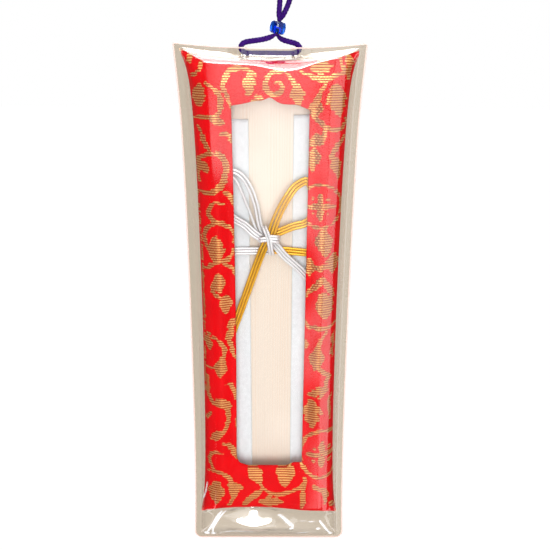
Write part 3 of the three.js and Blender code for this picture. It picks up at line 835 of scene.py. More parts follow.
def join(name, pieces):
    deselect()
    for piece in pieces:
        piece.select_set(True)
    bpy.context.view_layer.objects.active = pieces[0]
    bpy.ops.object.join()
    return rename(bpy.context.object, name)


def finish_piece(piece, material, body, slot, *nodes):
    """Gives a piece its material, its body and the nodes that it stands for"""
    piece.data.materials.clear()
    piece.data.materials.append(material)
    smooth_shade(piece)
    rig.ride(piece, body)
    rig.slot(piece, slot)
    if nodes:
        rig.replaces(piece, *nodes)
    return piece


# Curves

def smooth_path(places, spacing):
    """Points evenly spaced along a centripetal Catmull-Rom curve through the places"""
    places = np.asarray(places, float)
    ends = [2 * places[0] - places[1], 2 * places[-1] - places[-2]]
    knots = np.vstack([ends[0], places, ends[1]])
    fine = []
    for a, b, c, d in zip(knots, knots[1:], knots[2:], knots[3:]):
        t1 = math.sqrt(np.linalg.norm(b - a))
        t2 = t1 + math.sqrt(np.linalg.norm(c - b))
        t3 = t2 + math.sqrt(np.linalg.norm(d - c))
        t = np.linspace(t1, t2, CURVE_STEPS, endpoint=False)[:, None]
        ab = ((t1 - t) * a + t * b) / t1
        bc = ((t2 - t) * b + (t - t1) * c) / (t2 - t1)
        cd = ((t3 - t) * c + (t - t2) * d) / (t3 - t2)
        abc = ((t2 - t) * ab + t * bc) / t2
        bcd = ((t3 - t) * bc + (t - t1) * cd) / (t3 - t1)
        fine.append(((t2 - t) * abc + (t - t1) * bcd) / (t2 - t1))
    fine = np.vstack([*fine, places[-1]])
    return even_path(fine, spacing)


def path_lengths(path):
    steps = np.linalg.norm(np.diff(path, axis=0), axis=1)
    return np.concatenate([[0], np.cumsum(steps)])


def even_path(path, spacing):
    along = path_lengths(path)
    count = max(int(round(along[-1] / spacing)), 2)
    wanted = np.linspace(0, along[-1], count + 1)
    return np.stack([np.interp(wanted, along, path[:, k]) for k in range(3)], axis=1)


def headings(path):
    along = np.gradient(path, axis=0)
    return along / np.linalg.norm(along, axis=1)[:, None]


def path_frames(path, across):
    """First and second axis at each point; across is the wish for the first axis"""
    along = headings(path)
    first = np.broadcast_to(np.asarray(across, float), path.shape)
    first = first - np.sum(first * along, axis=1)[:, None] * along
    first /= np.linalg.norm(first, axis=1)[:, None]
    return first, np.cross(along, first)


def tube(name, path, first, second, radii, sides, flatness=1.0):
    """A closed tube along a path, its UV holding the share round it and the millimetres along it"""
    rows = len(path) - 1
    radii = np.broadcast_to(np.asarray(radii, float), len(path))

    def place(u, v):
        row = np.rint(v * rows).astype(int)
        turn = 2 * np.pi * np.rint(u * sides) / sides
        out = np.cos(turn)[:, None] * first[row] + flatness * np.sin(turn)[:, None] * second[row]
        return path[row] + radii[row][:, None] * out

    piece = grid_piece(name, sides, rows, place)
    uv = read_uv(piece)
    uv[:, 1] *= path_lengths(path)[-1]
    write_uv(piece, uv)
    edit(close_seam, fill_ends)
    return piece


# Outlines of the case and the cushion

def rounded(depth, radius):
    short = np.clip(radius - depth, 0, radius)
    return radius - np.sqrt(radius ** 2 - short ** 2)


def top_edge(x):
    """The case's top edge, drawn down between its corners"""
    rise = np.minimum(np.abs(x) * 2 / CASE_WIDTH, 1) ** TOP_CURVE
    return CASE_TOP + TOP_CORNERS_UP * rise - TOP_MIDDLE_DOWN * (1 - rise)


def case_half(z):
    from_top = np.maximum(CASE_TOP + TOP_CORNERS_UP - z, 0)
    from_bottom = np.maximum(z - CASE_BOTTOM, 0)
    flare = np.exp(-from_top / CASE_DRAW_TOP) + np.exp(-from_bottom / CASE_DRAW_BOTTOM)
    corner = rounded(from_top, CASE_TOP_RADIUS) + rounded(from_bottom, CASE_BOTTOM_RADIUS)
    wide = CASE_FLARE_TOP * bell(from_top, 0, CASE_FLARE_REACH)
    return CASE_WIDTH / 2 + wide - CASE_DRAW_IN * (1 - flare) - corner


def weld_top(x):
    """The flat weld along the top edge, widest in the middle"""
    return WELD_TOP + WELD_TOP_MIDDLE * (1 - (x * 2 / CASE_WIDTH) ** 2)


def film_rise(distance, reach):
    return np.sin(np.pi / 2 * np.clip(distance / reach, 0, 1)) ** FILM_FULLNESS


def dome(distance, reach):
    short = 1 - np.clip(distance / reach, 0, 1)
    return np.sqrt(1 - short ** 2)


def eased_lowest(shares, sharpness):
    total = sum((1 - s) ** sharpness for s in shares)
    return np.clip(1 - total ** (1 / sharpness), 0, 1)


def bell(value, centre, reach):
    return np.exp(-((value - centre) / reach) ** 2)


def film_share(x, z):
    middle = bell(x, FILM_RISE_MIDDLE_X, FILM_RISE_MIDDLE_REACH)
    reach_top = FILM_RISE_TOP - FILM_RISE_TOP_TILT * x + FILM_RISE_TOP_MIDDLE * middle
    side = film_rise(case_half(z) - np.abs(x) - WELD_SIDE, FILM_RISE_SIDE)
    top = film_rise(top_edge(x) - z - weld_top(x), reach_top)
    bottom = film_rise(z - CASE_BOTTOM - WELD_BOTTOM, FILM_RISE_BOTTOM)
    return eased_lowest([side, top, bottom], FILM_EASE)


def cushion_half(z):
    from_top = np.maximum(CUSHION_TOP - z, 0)
    from_bottom = np.maximum(z - CUSHION_BOTTOM, 0)
    flare = CUSHION_FLARE / 2 * np.exp(-np.minimum(from_top, from_bottom) / CUSHION_FLARE_REACH)
    ears = CUSHION_EAR_TOP * np.exp(-from_top / CUSHION_EAR_REACH)
    ears = ears + CUSHION_EAR_BOTTOM * np.exp(-from_bottom / CUSHION_EAR_REACH)
    return CUSHION_WAIST_HALF + flare + ears


def cushion_top(x):
    out = np.minimum(np.abs(x) / cushion_half(np.array(CUSHION_TOP)), 1)
    return CUSHION_TOP + CUSHION_EAR_LIFT * out ** EAR_CURVE - CUSHION_TOP_SAG * (1 - out ** SAG_CURVE)


def cushion_bottom(x):
    """Drawn up more on the left than on the right"""
    out = np.minimum(np.abs(x) / cushion_half(np.array(CUSHION_BOTTOM)), 1)
    drawn = 1 - BOTTOM_SAG_LOSS * ease((x - BOTTOM_SAG_FROM) / BOTTOM_SAG_OVER)
    return CUSHION_BOTTOM + CUSHION_BOTTOM_SAG * (1 - out ** SAG_CURVE) * drawn


def cushion_share(x, z):
    side = dome(cushion_half(z) - np.abs(x), CROWN_REACH)
    top = dome(cushion_top(x) - z, CROWN_REACH)
    bottom = dome(z - cushion_bottom(x), CROWN_REACH)
    return eased_lowest([side, top, bottom], CROWN_EASE)


def cushion_rise(x, z, crown):
    return SEAM_HALF + (crown - SEAM_HALF) * cushion_share(x, z)


def window_fall(z):
    return (WINDOW_TOP - z) / (WINDOW_TOP - WINDOW_BOTTOM)


def window_left(z):
    """Bowed in a little and rounded into the bottom corner"""
    low = np.clip((WINDOW_BOTTOM + WINDOW_CORNER_REACH - z) / WINDOW_CORNER_REACH, 0, 1)
    bow = np.sin(np.pi * np.clip(window_fall(z), 0, 1))
    return WINDOW_LEFT + WINDOW_LEFT_BOW * bow + WINDOW_CORNER * low ** 2


def window_right(z):
    return WINDOW_RIGHT + WINDOW_RIGHT_DRIFT * window_fall(z)


def window_top(x):
    """An ogee, fuller on the left"""
    arch = WINDOW_ARCH_FOOT + WINDOW_ARCH * (1 - ((x - WINDOW_ARCH_X) / WINDOW_ARCH_HALF) ** 2)
    shoulders = sum(rise * bell(x, centre, reach) for rise, centre, reach in WINDOW_SHOULDERS)
    return WINDOW_TOP + arch + shoulders + WINDOW_PEAK * bell(x, 0, WINDOW_PEAK_HALF)


def window_bottom(x):
    """Drawn up at both corners"""
    rise, start, reach = WINDOW_DRAWN_LEFT
    left = rise * np.clip((start - x) / reach, 0, 1) ** 2
    rise, start, reach = WINDOW_DRAWN_RIGHT
    return WINDOW_BOTTOM + left + rise * ease((x - start) / reach)


def outside_window(x, z):
    inside = np.clip(x, WINDOW_LEFT, WINDOW_RIGHT)
    aside = np.maximum(window_left(z) - x, x - window_right(z))
    above = np.maximum(z - window_top(inside), window_bottom(inside) - z)
    return np.maximum.reduce([aside, above, 0 * x])


def ease(value):
    value = np.clip(value, 0, 1)
    return value * value * (3 - 2 * value)


def front_height(x, z):
    dip = 1 - ease(outside_window(x, z) / LIP_WIDTH)
    return cushion_rise(x, z, CROWN_FRONT) - LIP_DROP * dip


def four_sides(step, left, right, top, bottom, high, low):
    """A point of an outline, clockwise from the top left; high and low are the heights of its corners"""
    sides = np.cumsum([0, ACROSS, DOWN, ACROSS, DOWN])
    step = step % sides[-1]
    part = np.searchsorted(sides, step, side="right") - 1
    at = (step - sides[part]) / np.where(part % 2 == 0, ACROSS, DOWN)
    even = END_CROWDING * (1 - np.cos(np.pi * at)) + (1 - 2 * END_CROWDING) * at
    corners = ((left, high), (right, high), (right, low), (left, low))
    ends = [np.asarray(edge(np.array(float(height)))) for edge, height in corners]
    run_x = ends[0] + (ends[1] - ends[0]) * at
    back_x = ends[2] + (ends[3] - ends[2]) * at
    fall_z = top(ends[1]) + (bottom(ends[2]) - top(ends[1])) * even
    climb_z = bottom(ends[3]) + (top(ends[0]) - bottom(ends[3])) * even
    x = np.choose(part, [run_x, right(fall_z), back_x, left(climb_z)])
    z = np.choose(part, [top(run_x), fall_z, bottom(back_x), climb_z])
    return x, z


def window_outline(step):
    return four_sides(step, window_left, window_right, window_top, window_bottom, WINDOW_TOP, WINDOW_BOTTOM)


def cushion_outline(step):
    def left(z):
        return -cushion_half(z)

    return four_sides(step, left, cushion_half, cushion_top, cushion_bottom, CUSHION_TOP, CUSHION_BOTTOM)


# Scrolls of the brocade, in millimetres right of the middle and below the top of the case
# A vine: half width and the places that it runs through
VINES = [
    (0.7, [(-18.6, -3), (-18.9, -5.1), (-19.8, -6.7), (-21.3, -7.5)]),
    (0.8, [(-17.5, -9.3), (-15.5, -10.6), (-14, -12.2), (-13.5, -14), (-13.9, -16.6), (-14.9, -18.1),
           (-17.7, -18.4), (-21.2, -18.6)]),
    (0.8, [(-4.2, -7), (-5.6, -5.9), (-7.6, -5.5), (-9.6, -5.7), (-11.2, -6.4), (-12.3, -8.2),
           (-12.7, -10.2), (-12, -12), (-11.4, -13.8), (-10.8, -16)]),
    (0.7, [(-19.8, -21.1), (-18.8, -22.9), (-18.5, -24.6), (-17.8, -26.2), (-16.7, -27.7),
           (-15.5, -28.3)]),
    (0.7, [(-13.8, -23), (-12.3, -22.9), (-11.2, -23.9), (-10.7, -25.1)]),
    (0.75, [(-15.6, -28.2), (-18.5, -29), (-19.7, -29.8), (-20.2, -31.3), (-20.2, -33.5),
            (-20, -36.1)]),
    (1.1, [(-15.2, -28.3), (-13.5, -29), (-12.7, -30.9), (-12.3, -32.6), (-12.8, -34.4),
           (-13.2, -36.2), (-14.8, -38.3), (-16.4, -39.4), (-18, -39.8), (-19.4, -39.3)]),
    (0.85, [(-13.1, -39.7), (-11.7, -40.3), (-11, -41.4), (-10.7, -43)]),
    (0.75, [(-13.2, -42.9), (-15.4, -42.4), (-17, -43.7), (-17.7, -45.3), (-16.8, -47.1),
            (-15.4, -48.2), (-13.9, -48.5), (-12.6, -49.2), (-11.3, -50.3), (-10.5, -51.7),
            (-10.6, -54.7)]),
    (0.75, [(-15.4, -48.4), (-16.9, -49.2), (-18.3, -50.4), (-18.9, -52), (-18.8, -54), (-18.3, -55.4),
            (-17.1, -56.1)]),
    (0.75, [(-10.7, -56.5), (-11.1, -58.2), (-12.3, -59.5), (-14.1, -60.2), (-16.2, -60.8),
            (-18, -62.2), (-19.8, -63)]),
    (0.75, [(-14.1, -60.8), (-12.1, -61.8), (-10.9, -62.9), (-10.2, -64.8)]),
    (0.75, [(-17, -67.4), (-16.7, -70.1), (-15.4, -71.5), (-13.8, -72.3)]),
    (0.9, [(-10.2, -78.9), (-11.8, -80.6), (-11.8, -82.7), (-12.5, -84.7), (-12.2, -86.6),
           (-11.6, -88.6), (-11.2, -90.7), (-10.4, -92)]),
    (0.75, [(-18.9, -83.6), (-17.4, -84.6), (-15.7, -86), (-14.5, -87.4), (-13.8, -89.1),
            (-14.1, -90.9), (-14.8, -92.3), (-16.1, -93.9), (-17.3, -95.6), (-19.4, -95.5)]),
    (0.8, [(-13.9, -101.4), (-12.5, -101.4), (-11.5, -102.9), (-10.9, -104.5), (-10.5, -106.6)]),
    (0.85, [(-19.2, -98.9), (-19.3, -102.5), (-19, -105.8), (-17.9, -107.8), (-15.7, -108.8),
            (-13.8, -109.8), (-13.1, -112.2), (-13.5, -115.1), (-14.1, -117.6), (-15.2, -119.5),
            (-16.7, -121.2), (-19, -121.6)]),
    (0.6, [(-18.6, -111.7), (-19.5, -113.2), (-20, -115.1)]),
    (0.4, [(-10.7, -113.4), (-10.7, -117.2)]),
    (1.1, [(-14.8, -122.9), (-13.2, -123.6), (-11.9, -125.4), (-11.4, -127.2), (-10.6, -128.8)]),
    (0.7, [(-15.1, -126.8), (-17.4, -126.4), (-19.1, -127.9), (-19.4, -129.8), (-18.9, -131.6),
           (-17.6, -133.4)]),
    (0.85, [(-19.9, -134.2), (-17.7, -133.6), (-15.6, -134.2), (-14, -135.6), (-12.5, -137),
            (-11.6, -139.6), (-11.8, -142.6), (-12.6, -145.4), (-13.6, -147.4)]),
    (1.3, [(-8.4, -147.2), (-5.9, -143.8), (-3.6, -142), (-2.4, -140.8)]),
    (0.35, [(-20.7, -38), (-19.9, -56), (-19.8, -80), (-20.2, -105)]),
    (0.8, [(21.4, -2.8), (21.4, -5.1), (21.2, -6.7), (21.3, -8.4)]),
    (0.6, [(19.2, -3.1), (19.3, -4.6), (19.8, -5.5), (20.9, -6.8)]),
    (0.85, [(8.4, -6.3), (10.5, -7.2), (13, -7.9), (15.5, -8.1), (17.9, -7.2), (19.4, -6.5)]),
    (0.85, [(15.4, -8.6), (14.6, -10.3), (13.6, -11.5), (13.1, -13), (12.4, -15.4), (12.3, -17.5),
            (12.8, -18.8), (14, -19.5), (15.1, -20.5), (16.5, -21.4), (18.4, -21.7), (19.9, -21.1),
            (20.8, -20.1), (21, -18.3)]),
    (0.9, [(15.3, -21.6), (15, -23.2), (13.9, -24.6), (12.6, -25.4), (11.2, -26.2)]),
    (0.85, [(20.6, -23.7), (19.6, -25.3), (18.6, -26.4), (17.8, -27.7), (17.4, -29.2), (18, -30.5),
            (18.8, -32), (19.2, -34.1), (19.3, -35.6)]),
    (0.9, [(18.7, -58.5), (18.4, -60.6), (17, -61.6), (14.9, -62.2), (12.7, -62.2), (11.4, -63)]),
    (1.1, [(10.9, -71.2), (12.4, -69.6), (14.2, -67.9), (15.6, -66), (17, -67.4), (18.2, -69.4),
           (18.8, -71), (18, -72.6)]),
    (0.9, [(10.8, -79.3), (12, -81.2), (13.6, -81.5), (16.2, -81.9), (18.2, -81.6), (19.9, -80.6)]),
    (0.85, [(17.6, -82.6), (16.7, -84.7), (15.7, -86.1), (15.2, -88.1), (14.8, -89.9), (14.2, -93),
            (15.4, -95.5), (17.2, -97.4), (18.6, -98.6), (17.9, -100.1), (17.8, -101.9), (16.6, -103),
            (15.3, -104.6)]),
    (0.6, [(19.9, -84), (19.3, -86), (19.7, -88), (19.2, -90), (19.8, -92)]),
    (0.6, [(19.8, -104.8), (19.2, -107), (19.1, -110), (19.5, -114.4)]),
    (0.9, [(11.8, -135.7), (12.1, -137.7), (10.8, -139.2), (9.1, -140.4), (7, -141.5), (5, -142.3),
           (3, -142.4), (1.2, -142), (-0.6, -141.2), (-2.2, -139.6), (-3.3, -137.2)]),
    (1, [(12, -139), (11.5, -141), (11.3, -143), (11.6, -145.7), (11, -148.6)]),
    (1.1, [(15, -139.2), (16.5, -140.7), (18.3, -141.4), (18.9, -143.4), (19, -146.4)]),
    (0.8, [(20.4, -147), (22, -148.8)]),
    (0.85, [(3.8, -6.3), (1.8, -6.2), (0.1, -7), (-1.2, -8.8), (-1.2, -10.6), (-0.2, -11.8),
            (1.2, -12.2), (2.8, -11.5), (3.2, -10), (2.4, -8.8), (1.4, -9.2)]),
    (0.7, [(3.9, -6.4), (5.1, -7.3), (6.1, -8.5), (6.5, -9.8), (7.3, -11.2)]),
]
# A leaf: the place of its stem end, its length, half width, heading and bend in degrees
LEAVES = [
    (-19.3, -14.2, 4.8, 1.6, 90, 0), (-21.7, -3.8, 2.4, 0.7, 90, 0), (-15.8, -18.6, 3.6, 1.2, 330, 0),
    (-19.6, -31, 3.8, 1, 320, -30), (-15.7, -59.2, 7.2, 2, 88, 5), (-15.2, -68.8, 5, 1.7, 90, 0),
    (-13.2, -72, 4.8, 1.7, 272, 0), (-19, -85.4, 4.2, 1, 275, 10), (-14.6, -93.4, 5.2, 1.6, 250, 20),
    (-10.8, -79.4, 3.2, 1.1, 230, 0), (-11.5, -83.2, 3.2, 1.1, 230, 0),
    (-16.2, -107.2, 4.8, 1.5, 330, 0), (-17.4, -138.8, 8.2, 1.9, 268, 0),
    (-12.8, -138.8, 4.6, 1.3, 345, 0), (-11.7, -139.8, 4.4, 1.3, 270, 0),
    (-3.4, -136.8, 6.6, 1.9, 116, 8), (-5.6, -7.6, 5.2, 1.4, 268, 0), (11.6, -5.6, 6, 1, 8, 0),
    (7.2, -10.2, 5.4, 1.5, 278, 0), (17.5, -10.4, 8, 1.9, 282, 0), (12.9, -13.6, 5.6, 1.5, 262, 0),
    (-5, -13.9, 4.2, 0.6, 12, 0), (21.4, -4.6, 2.8, 1, 92, 0), (14.8, -23.8, 4.6, 1.3, 205, 0),
    (12.4, -27.2, 6.6, 1.2, 268, 0), (18.2, -30, 4.4, 1.4, 282, 0), (15.4, -52, 6.8, 2.1, 282, 0),
    (18.7, -58.2, 6.2, 1.1, 268, 0), (11.8, -60, 5.6, 1.1, 270, 0), (16.2, -71.6, 7.4, 2.2, 278, 0),
    (15, -89.8, 6.4, 1.8, 262, 0), (11.3, -86.2, 3.2, 0.6, 270, 0), (17.8, -103.4, 6.4, 1.2, 195, 0),
    (13.6, -108, 9.6, 1.9, 272, 0), (5.6, -131.2, 8.4, 2.4, 268, 0), (-2.4, -145.6, 7.8, 1.5, 0, 0),
    (-17.8, -120, 4, 1, 20, 0),
]
# A roundel: centre, half its width and height, and half width of its ring; a flower of lozenges fills it
ROUNDELS = [(14.6, -43.5, 5.9, 6.4, 0.55), (17.2, -127.2, 7, 9, 0.75)]
# Its petals and buds, as shares of its radius
PETAL_ROOT = 0.14
PETAL_LENGTH = 0.6
PETAL_HALF = 0.15
BUD_OUT = 0.5
BUD_HALF = 0.1
# A lobe of a leaf: where it starts and how long it is, as shares of the leaf, and its turn in degrees
LOBES = [(0.16, 0.5, 52), (0.16, 0.5, -52), (0.42, 0.4, 40), (0.42, 0.4, -40)]
LOBE_HALF = 0.6
LOBE_BEND = -0.4
BLADE_DOTS = 12
DOT_STEP = 0.3
DOT_BATCH = 4000


def vine_dots(half, places):
    path = smooth_path([(x, 0, z) for x, z in places], DOT_STEP)
    along = np.linspace(0, 1, len(path))
    width = half * (0.4 + 0.6 * np.sin(np.pi * np.clip(along, 0.04, 0.96)) ** 0.5)
    return np.stack([path[:, 0], path[:, 2], width], axis=1)


def blade_dots(x, z, length, half, heading, bend):
    along = np.linspace(0, 1, BLADE_DOTS)
    angle = np.radians(heading + bend * along)
    step = length / (BLADE_DOTS - 1)
    spine_x = x + np.concatenate([[0], np.cumsum(np.cos(angle[:-1]) * step)])
    spine_z = z + np.concatenate([[0], np.cumsum(np.sin(angle[:-1]) * step)])
    width = half * np.sin(np.pi * (0.22 + 0.78 * along)) ** 0.8 + 0.1
    return np.stack([spine_x, spine_z, width], axis=1)


def leaf_dots(x, z, length, half, heading, bend):
    """A blade with two pairs of lobes"""
    blade = blade_dots(x, z, length, half, heading, bend)
    parts = [blade]
    for start, share_of_blade, aside in LOBES:
        root = blade[int(start * (BLADE_DOTS - 1))]
        turned = heading + bend * start + aside
        lobe = (length * share_of_blade, half * LOBE_HALF, turned, LOBE_BEND * aside)
        parts.append(blade_dots(root[0], root[1], *lobe))
    return np.vstack(parts)


def roundel_dots(x, z, wide, tall, half):
    turn = np.radians(np.arange(0, 360, 5))
    ring = np.stack([x + wide * np.cos(turn), z + tall * np.sin(turn), np.full(turn.shape, half)], axis=1)
    radius = min(wide, tall)
    quarters = np.radians([0, 90, 180, 270])
    petals = []
    for quarter in quarters:
        root_x = x + PETAL_ROOT * radius * np.cos(quarter)
        root_z = z + PETAL_ROOT * radius * np.sin(quarter)
        petal = (radius * PETAL_LENGTH, radius * PETAL_HALF, np.degrees(quarter), 0)
        petals.append(blade_dots(root_x, root_z, *petal))
    bud_x = x + BUD_OUT * radius * np.cos(quarters + np.pi / 4)
    bud_z = z + BUD_OUT * radius * np.sin(quarters + np.pi / 4)
    buds = np.stack([bud_x, bud_z, np.full(4, BUD_HALF * radius)], axis=1)
    return np.vstack([ring, *petals, buds])


def scroll_dots():
    dots = [vine_dots(*vine) for vine in VINES]
    dots += [leaf_dots(*leaf) for leaf in LEAVES]
    dots += [roundel_dots(*roundel) for roundel in ROUNDELS]
    return np.vstack(dots)


def dots_distance(places, dots):
    """Distance to the nearest of some round dots, below zero inside"""
    found = np.empty(len(places))
    for start in range(0, len(places), DOT_BATCH):
        part = places[start:start + DOT_BATCH]
        gaps = np.hypot(part[:, :1] - dots[:, 0], part[:, 1:] - dots[:, 1]) - dots[:, 2]
        found[start:start + DOT_BATCH] = gaps.min(axis=1)
    return found


# Materials

def brocade_finish():
    values = look("charm_brocade")
    finish = Finish("brocade")
    pitch = values.weft / MM
    sideways = finish.uv(0) / pitch
    up = finish.uv(1) / pitch
    line = up.math("FLOOR", up)
    across_line = (up.fraction() - 0.5).absolute()
    thread = across_line.ramp(0.4, 0.2)
    across_tie = ((sideways * 0.7 + line * 0.5).fraction() - 0.5).absolute() / 0.7
    tie = (across_tie ** 2 + across_line ** 2).ramp(0.12, 0.05)
    steps = finish.noise(finish.vector(sideways * 0.3, line * 3.7, 0), 1, 1)
    gold = (steps * 1.5 - 0.83 - finish.attribute("scroll")).ramp(-0.1, 0.1)
    slub = finish.noise(finish.vector(sideways * 0.35, line * 2.3, 0), 1, 2)
    satin = finish.noise(finish.vector(sideways * 0.4, up * 2.2, 0), 1, 2)
    worn = finish.noise(finish.place((0.1, 0.1, 0.1)), 1, 3)
    dark_ground = [0.82 * c for c in values.ground]
    dark_gold = [0.75 * c for c in values.gold]
    ground = finish.mix(worn.ramp(0.3, 0.7) * 0.5 + satin * 0.5, dark_ground, values.ground)
    floats = finish.mix(slub.ramp(0.25, 0.7), dark_gold, values.gold)
    # Between the gold wefts: the ground darkened as painted shade
    woven = finish.mix(thread, values.gap, finish.mix(tie * 0.8, floats, values.tie))
    metal = gold * thread * (1 - tie)
    height = gold * thread * (1 - 0.4 * tie) + satin * 0.25
    shader = finish.principled(
        base_color=finish.mix(gold, ground, woven), metallic=metal * 0.92, roughness=0.55 - metal * 0.15,
        anisotropic=0.9, anisotropic_rotation=0.25, specular_ior_level=0.06,
        normal=finish.bump(height, 0.05, 0.7))
    return finish.done(shader)


def film_finish(name, tint, shininess, roughness):
    values = look("charm_film")
    finish = Finish(name)
    facing = Field(finish, finish.node("ShaderNodeLayerWeight", None, {"Blend": 0.5}).outputs["Facing"])
    gloss = shininess + (1 - shininess) * facing ** 5
    clear = finish.node("ShaderNodeBsdfTransparent", None, {"Color": tint}).outputs[0]
    mirror = {"Color": (1, 1, 1), "Roughness": roughness}
    shine = finish.node("ShaderNodeBsdfGlossy", None, mirror).outputs[0]
    rim = (1 - finish.attribute("edge").ramp(0.4 * values.rim_width / MM, values.rim_width / MM)) * 0.55
    pale = finish.principled(base_color=values.rim, roughness=0.3)
    # The pocket's glare streaks are painted highlight: this white diffuse shader is laid over the film where the
    # attribute says
    white = finish.principled(base_color=values.painted_glare, roughness=0.2)
    folded = finish.blend(finish.attribute("painted_glare"), finish.blend(gloss, clear, shine), white)
    return finish.done(finish.blend(rim, folded, pale))


def foil_finish(name, foil, metal):
    values = look("charm_bow")
    finish = Finish(name)
    seam = (finish.uv(1) / (values.winding / MM) + finish.uv(0)).ridge().ramp(0.02, 0.25)
    crumple = finish.noise(finish.place((1.4, 1.4, 1.4)), 1.6, 3)
    dull = [0.6 * c ** 1.3 for c in foil]
    # Painted shade: the strand's sides, where it touches its neighbours, take a darkened copy of the foil
    shade_between_strands = [0.22 * c ** 1.6 for c in foil]
    aside = ((finish.uv(0) * 2).fraction() - 0.5).absolute().ramp(0.34, 0.47)
    wound = finish.mix(seam * (0.65 + 0.35 * crumple), dull, foil)
    shader = finish.principled(
        base_color=finish.mix(aside, wound, shade_between_strands), metallic=metal, roughness=0.24 + 0.16 * crumple,
        normal=finish.bump(seam * 0.6 + crumple * 0.6, 0.06, 0.7))
    return finish.done(shader)


def wood_finish():
    values = look("charm_slip")
    finish = Finish("slip_wood")
    drift = finish.noise(finish.place((0.35, 0.35, 0.012)), 1, 2)
    line = ((finish.object_axis(0) + drift * 1.6) / 0.78).ridge().ramp(0.35, 1)
    fibre = finish.noise(finish.place((5, 5, 0.06)), 1, 2)
    tone = finish.noise(finish.place((0.25, 0.25, 0.01)), 1, 2)
    base = finish.mix(line * 0.7 + fibre * 0.3, values.wood, values.grain)
    shader = finish.principled(
        base_color=finish.mix(tone.ramp(0.3, 0.75) * 0.5, base, values.wood), roughness=0.5 + 0.15 * fibre,
        normal=finish.bump(fibre * 0.5 + line * 0.4, 0.03, 0.5))
    return finish.done(shader)


def paper_finish():
    values = look("charm_slip")
    finish = Finish("white_paper")
    fibre = finish.noise(finish.place((0.7, 0.7, 0.7)), 1, 5, 0.65)
    laid = (finish.object_axis(2) / 1.1).ridge()
    grey = [0.93 * c for c in values.paper]
    shader = finish.principled(
        base_color=finish.mix(fibre.ramp(0.35, 0.65), grey, values.paper), roughness=0.75 + 0.15 * fibre,
        normal=finish.bump(fibre + laid * 0.15, 0.04, 0.4))
    return finish.done(shader)


def cord_finish():
    values = look("charm_cord")
    finish = Finish("purple_cord")
    hair = (finish.uv(0) * 7 + finish.uv(1) / 0.9).ridge()
    tone = finish.noise(finish.place((0.8, 0.8, 0.8)), 1, 3)
    shader = finish.principled(
        base_color=finish.mix((hair * tone).ramp(0.3, 0.75) * 0.25, values.fibre, values.sheen),
        roughness=0.5 + 0.2 * tone, specular_ior_level=0.1, normal=finish.bump(hair, 0.03, 0.6))
    return finish.done(shader)


def glass_finish():
    values = look("charm_cord")
    finish = Finish("blue_glass")
    streak = finish.noise(finish.place((0.6, 0.6, 0.2)), 1, 2)
    deep = [0.7 * c for c in values.glass]
    shader = finish.principled(
        base_color=finish.mix(streak.ramp(0.35, 0.65), deep, values.glass), roughness=0.03,
        transmission_weight=0.95, ior=1.45)
    return finish.done(shader)


def thread_finish():
    values = look("charm_brocade")
    finish = Finish("sewing_thread")
    ply = (finish.uv(0) * 2 + finish.uv(1) / 0.3).ridge()
    pale = [0.5 + 0.5 * c for c in values.gold]
    shader = finish.principled(
        base_color=finish.mix(ply, values.gold, pale), roughness=0.5 + 0.1 * ply,
        sheen_weight=0.3, normal=finish.bump(ply, 0.04, 0.6))
    return finish.done(shader)


def wadding_finish():
    finish = Finish("wadding")
    fluff = finish.noise(finish.place((0.5, 0.5, 0.5)), 1, 6, 0.7)
    shader = finish.principled(
        base_color=finish.mix(fluff, (0.72, 0.7, 0.64), (0.9, 0.89, 0.85)), roughness=0.85 + 0.1 * fluff,
        normal=finish.bump(fluff, 0.4, 0.8))
    return finish.done(shader)


def card_finish():
    finish = Finish("card")
    pulp = finish.noise(finish.place((0.4, 0.4, 0.4)), 1, 6, 0.7)
    shader = finish.principled(
        base_color=finish.mix(pulp.ramp(0.3, 0.7), (0.7, 0.64, 0.52), (0.84, 0.8, 0.7)),
        roughness=0.8 + 0.1 * pulp, normal=finish.bump(pulp, 0.05, 0.4))
    return finish.done(shader)


# Cord and bead

def on_cord(x, z, y=0):
    """A place right of the middle, above the case's top edge and in depth"""
    return (x, y, CASE_TOP + z)


def in_bead(along, y):
    place = BEAD_CENTRE + along * BEAD_AXIS
    return (place[0], y, place[2])


def bridle_places():
    return [
        in_bead(-CORD_ENDS, -STRAND_ASIDE), in_bead(-BEAD_MOUTH, -STRAND_ASIDE),
        on_cord(0.6, 2.75, -0.5), on_cord(-1.4, 2.05, -0.25), on_cord(-3.6, 1.65), on_cord(-5.4, 1.4),
        on_cord(-6.7, 1.15), on_cord(-7.6, 0.65), on_cord(-7.95, -0.2), on_cord(-7.6, -1.05),
        on_cord(-6.7, -1.55), on_cord(-5.6, -CROSSING), on_cord(-3, -CROSSING), on_cord(0, -CROSSING),
        on_cord(3, -CROSSING), on_cord(5.6, -CROSSING), on_cord(6.7, -1.55), on_cord(7.6, -1.05),
        on_cord(7.95, -0.2), on_cord(7.5, 0.5), on_cord(6.6, 0.95), on_cord(5.2, 1.3),
        on_cord(3.6, 1.75, 0.4), on_cord(2.5, 2.35, 0.55), in_bead(-BEAD_MOUTH, STRAND_ASIDE),
        in_bead(-CORD_ENDS, STRAND_ASIDE),
    ]


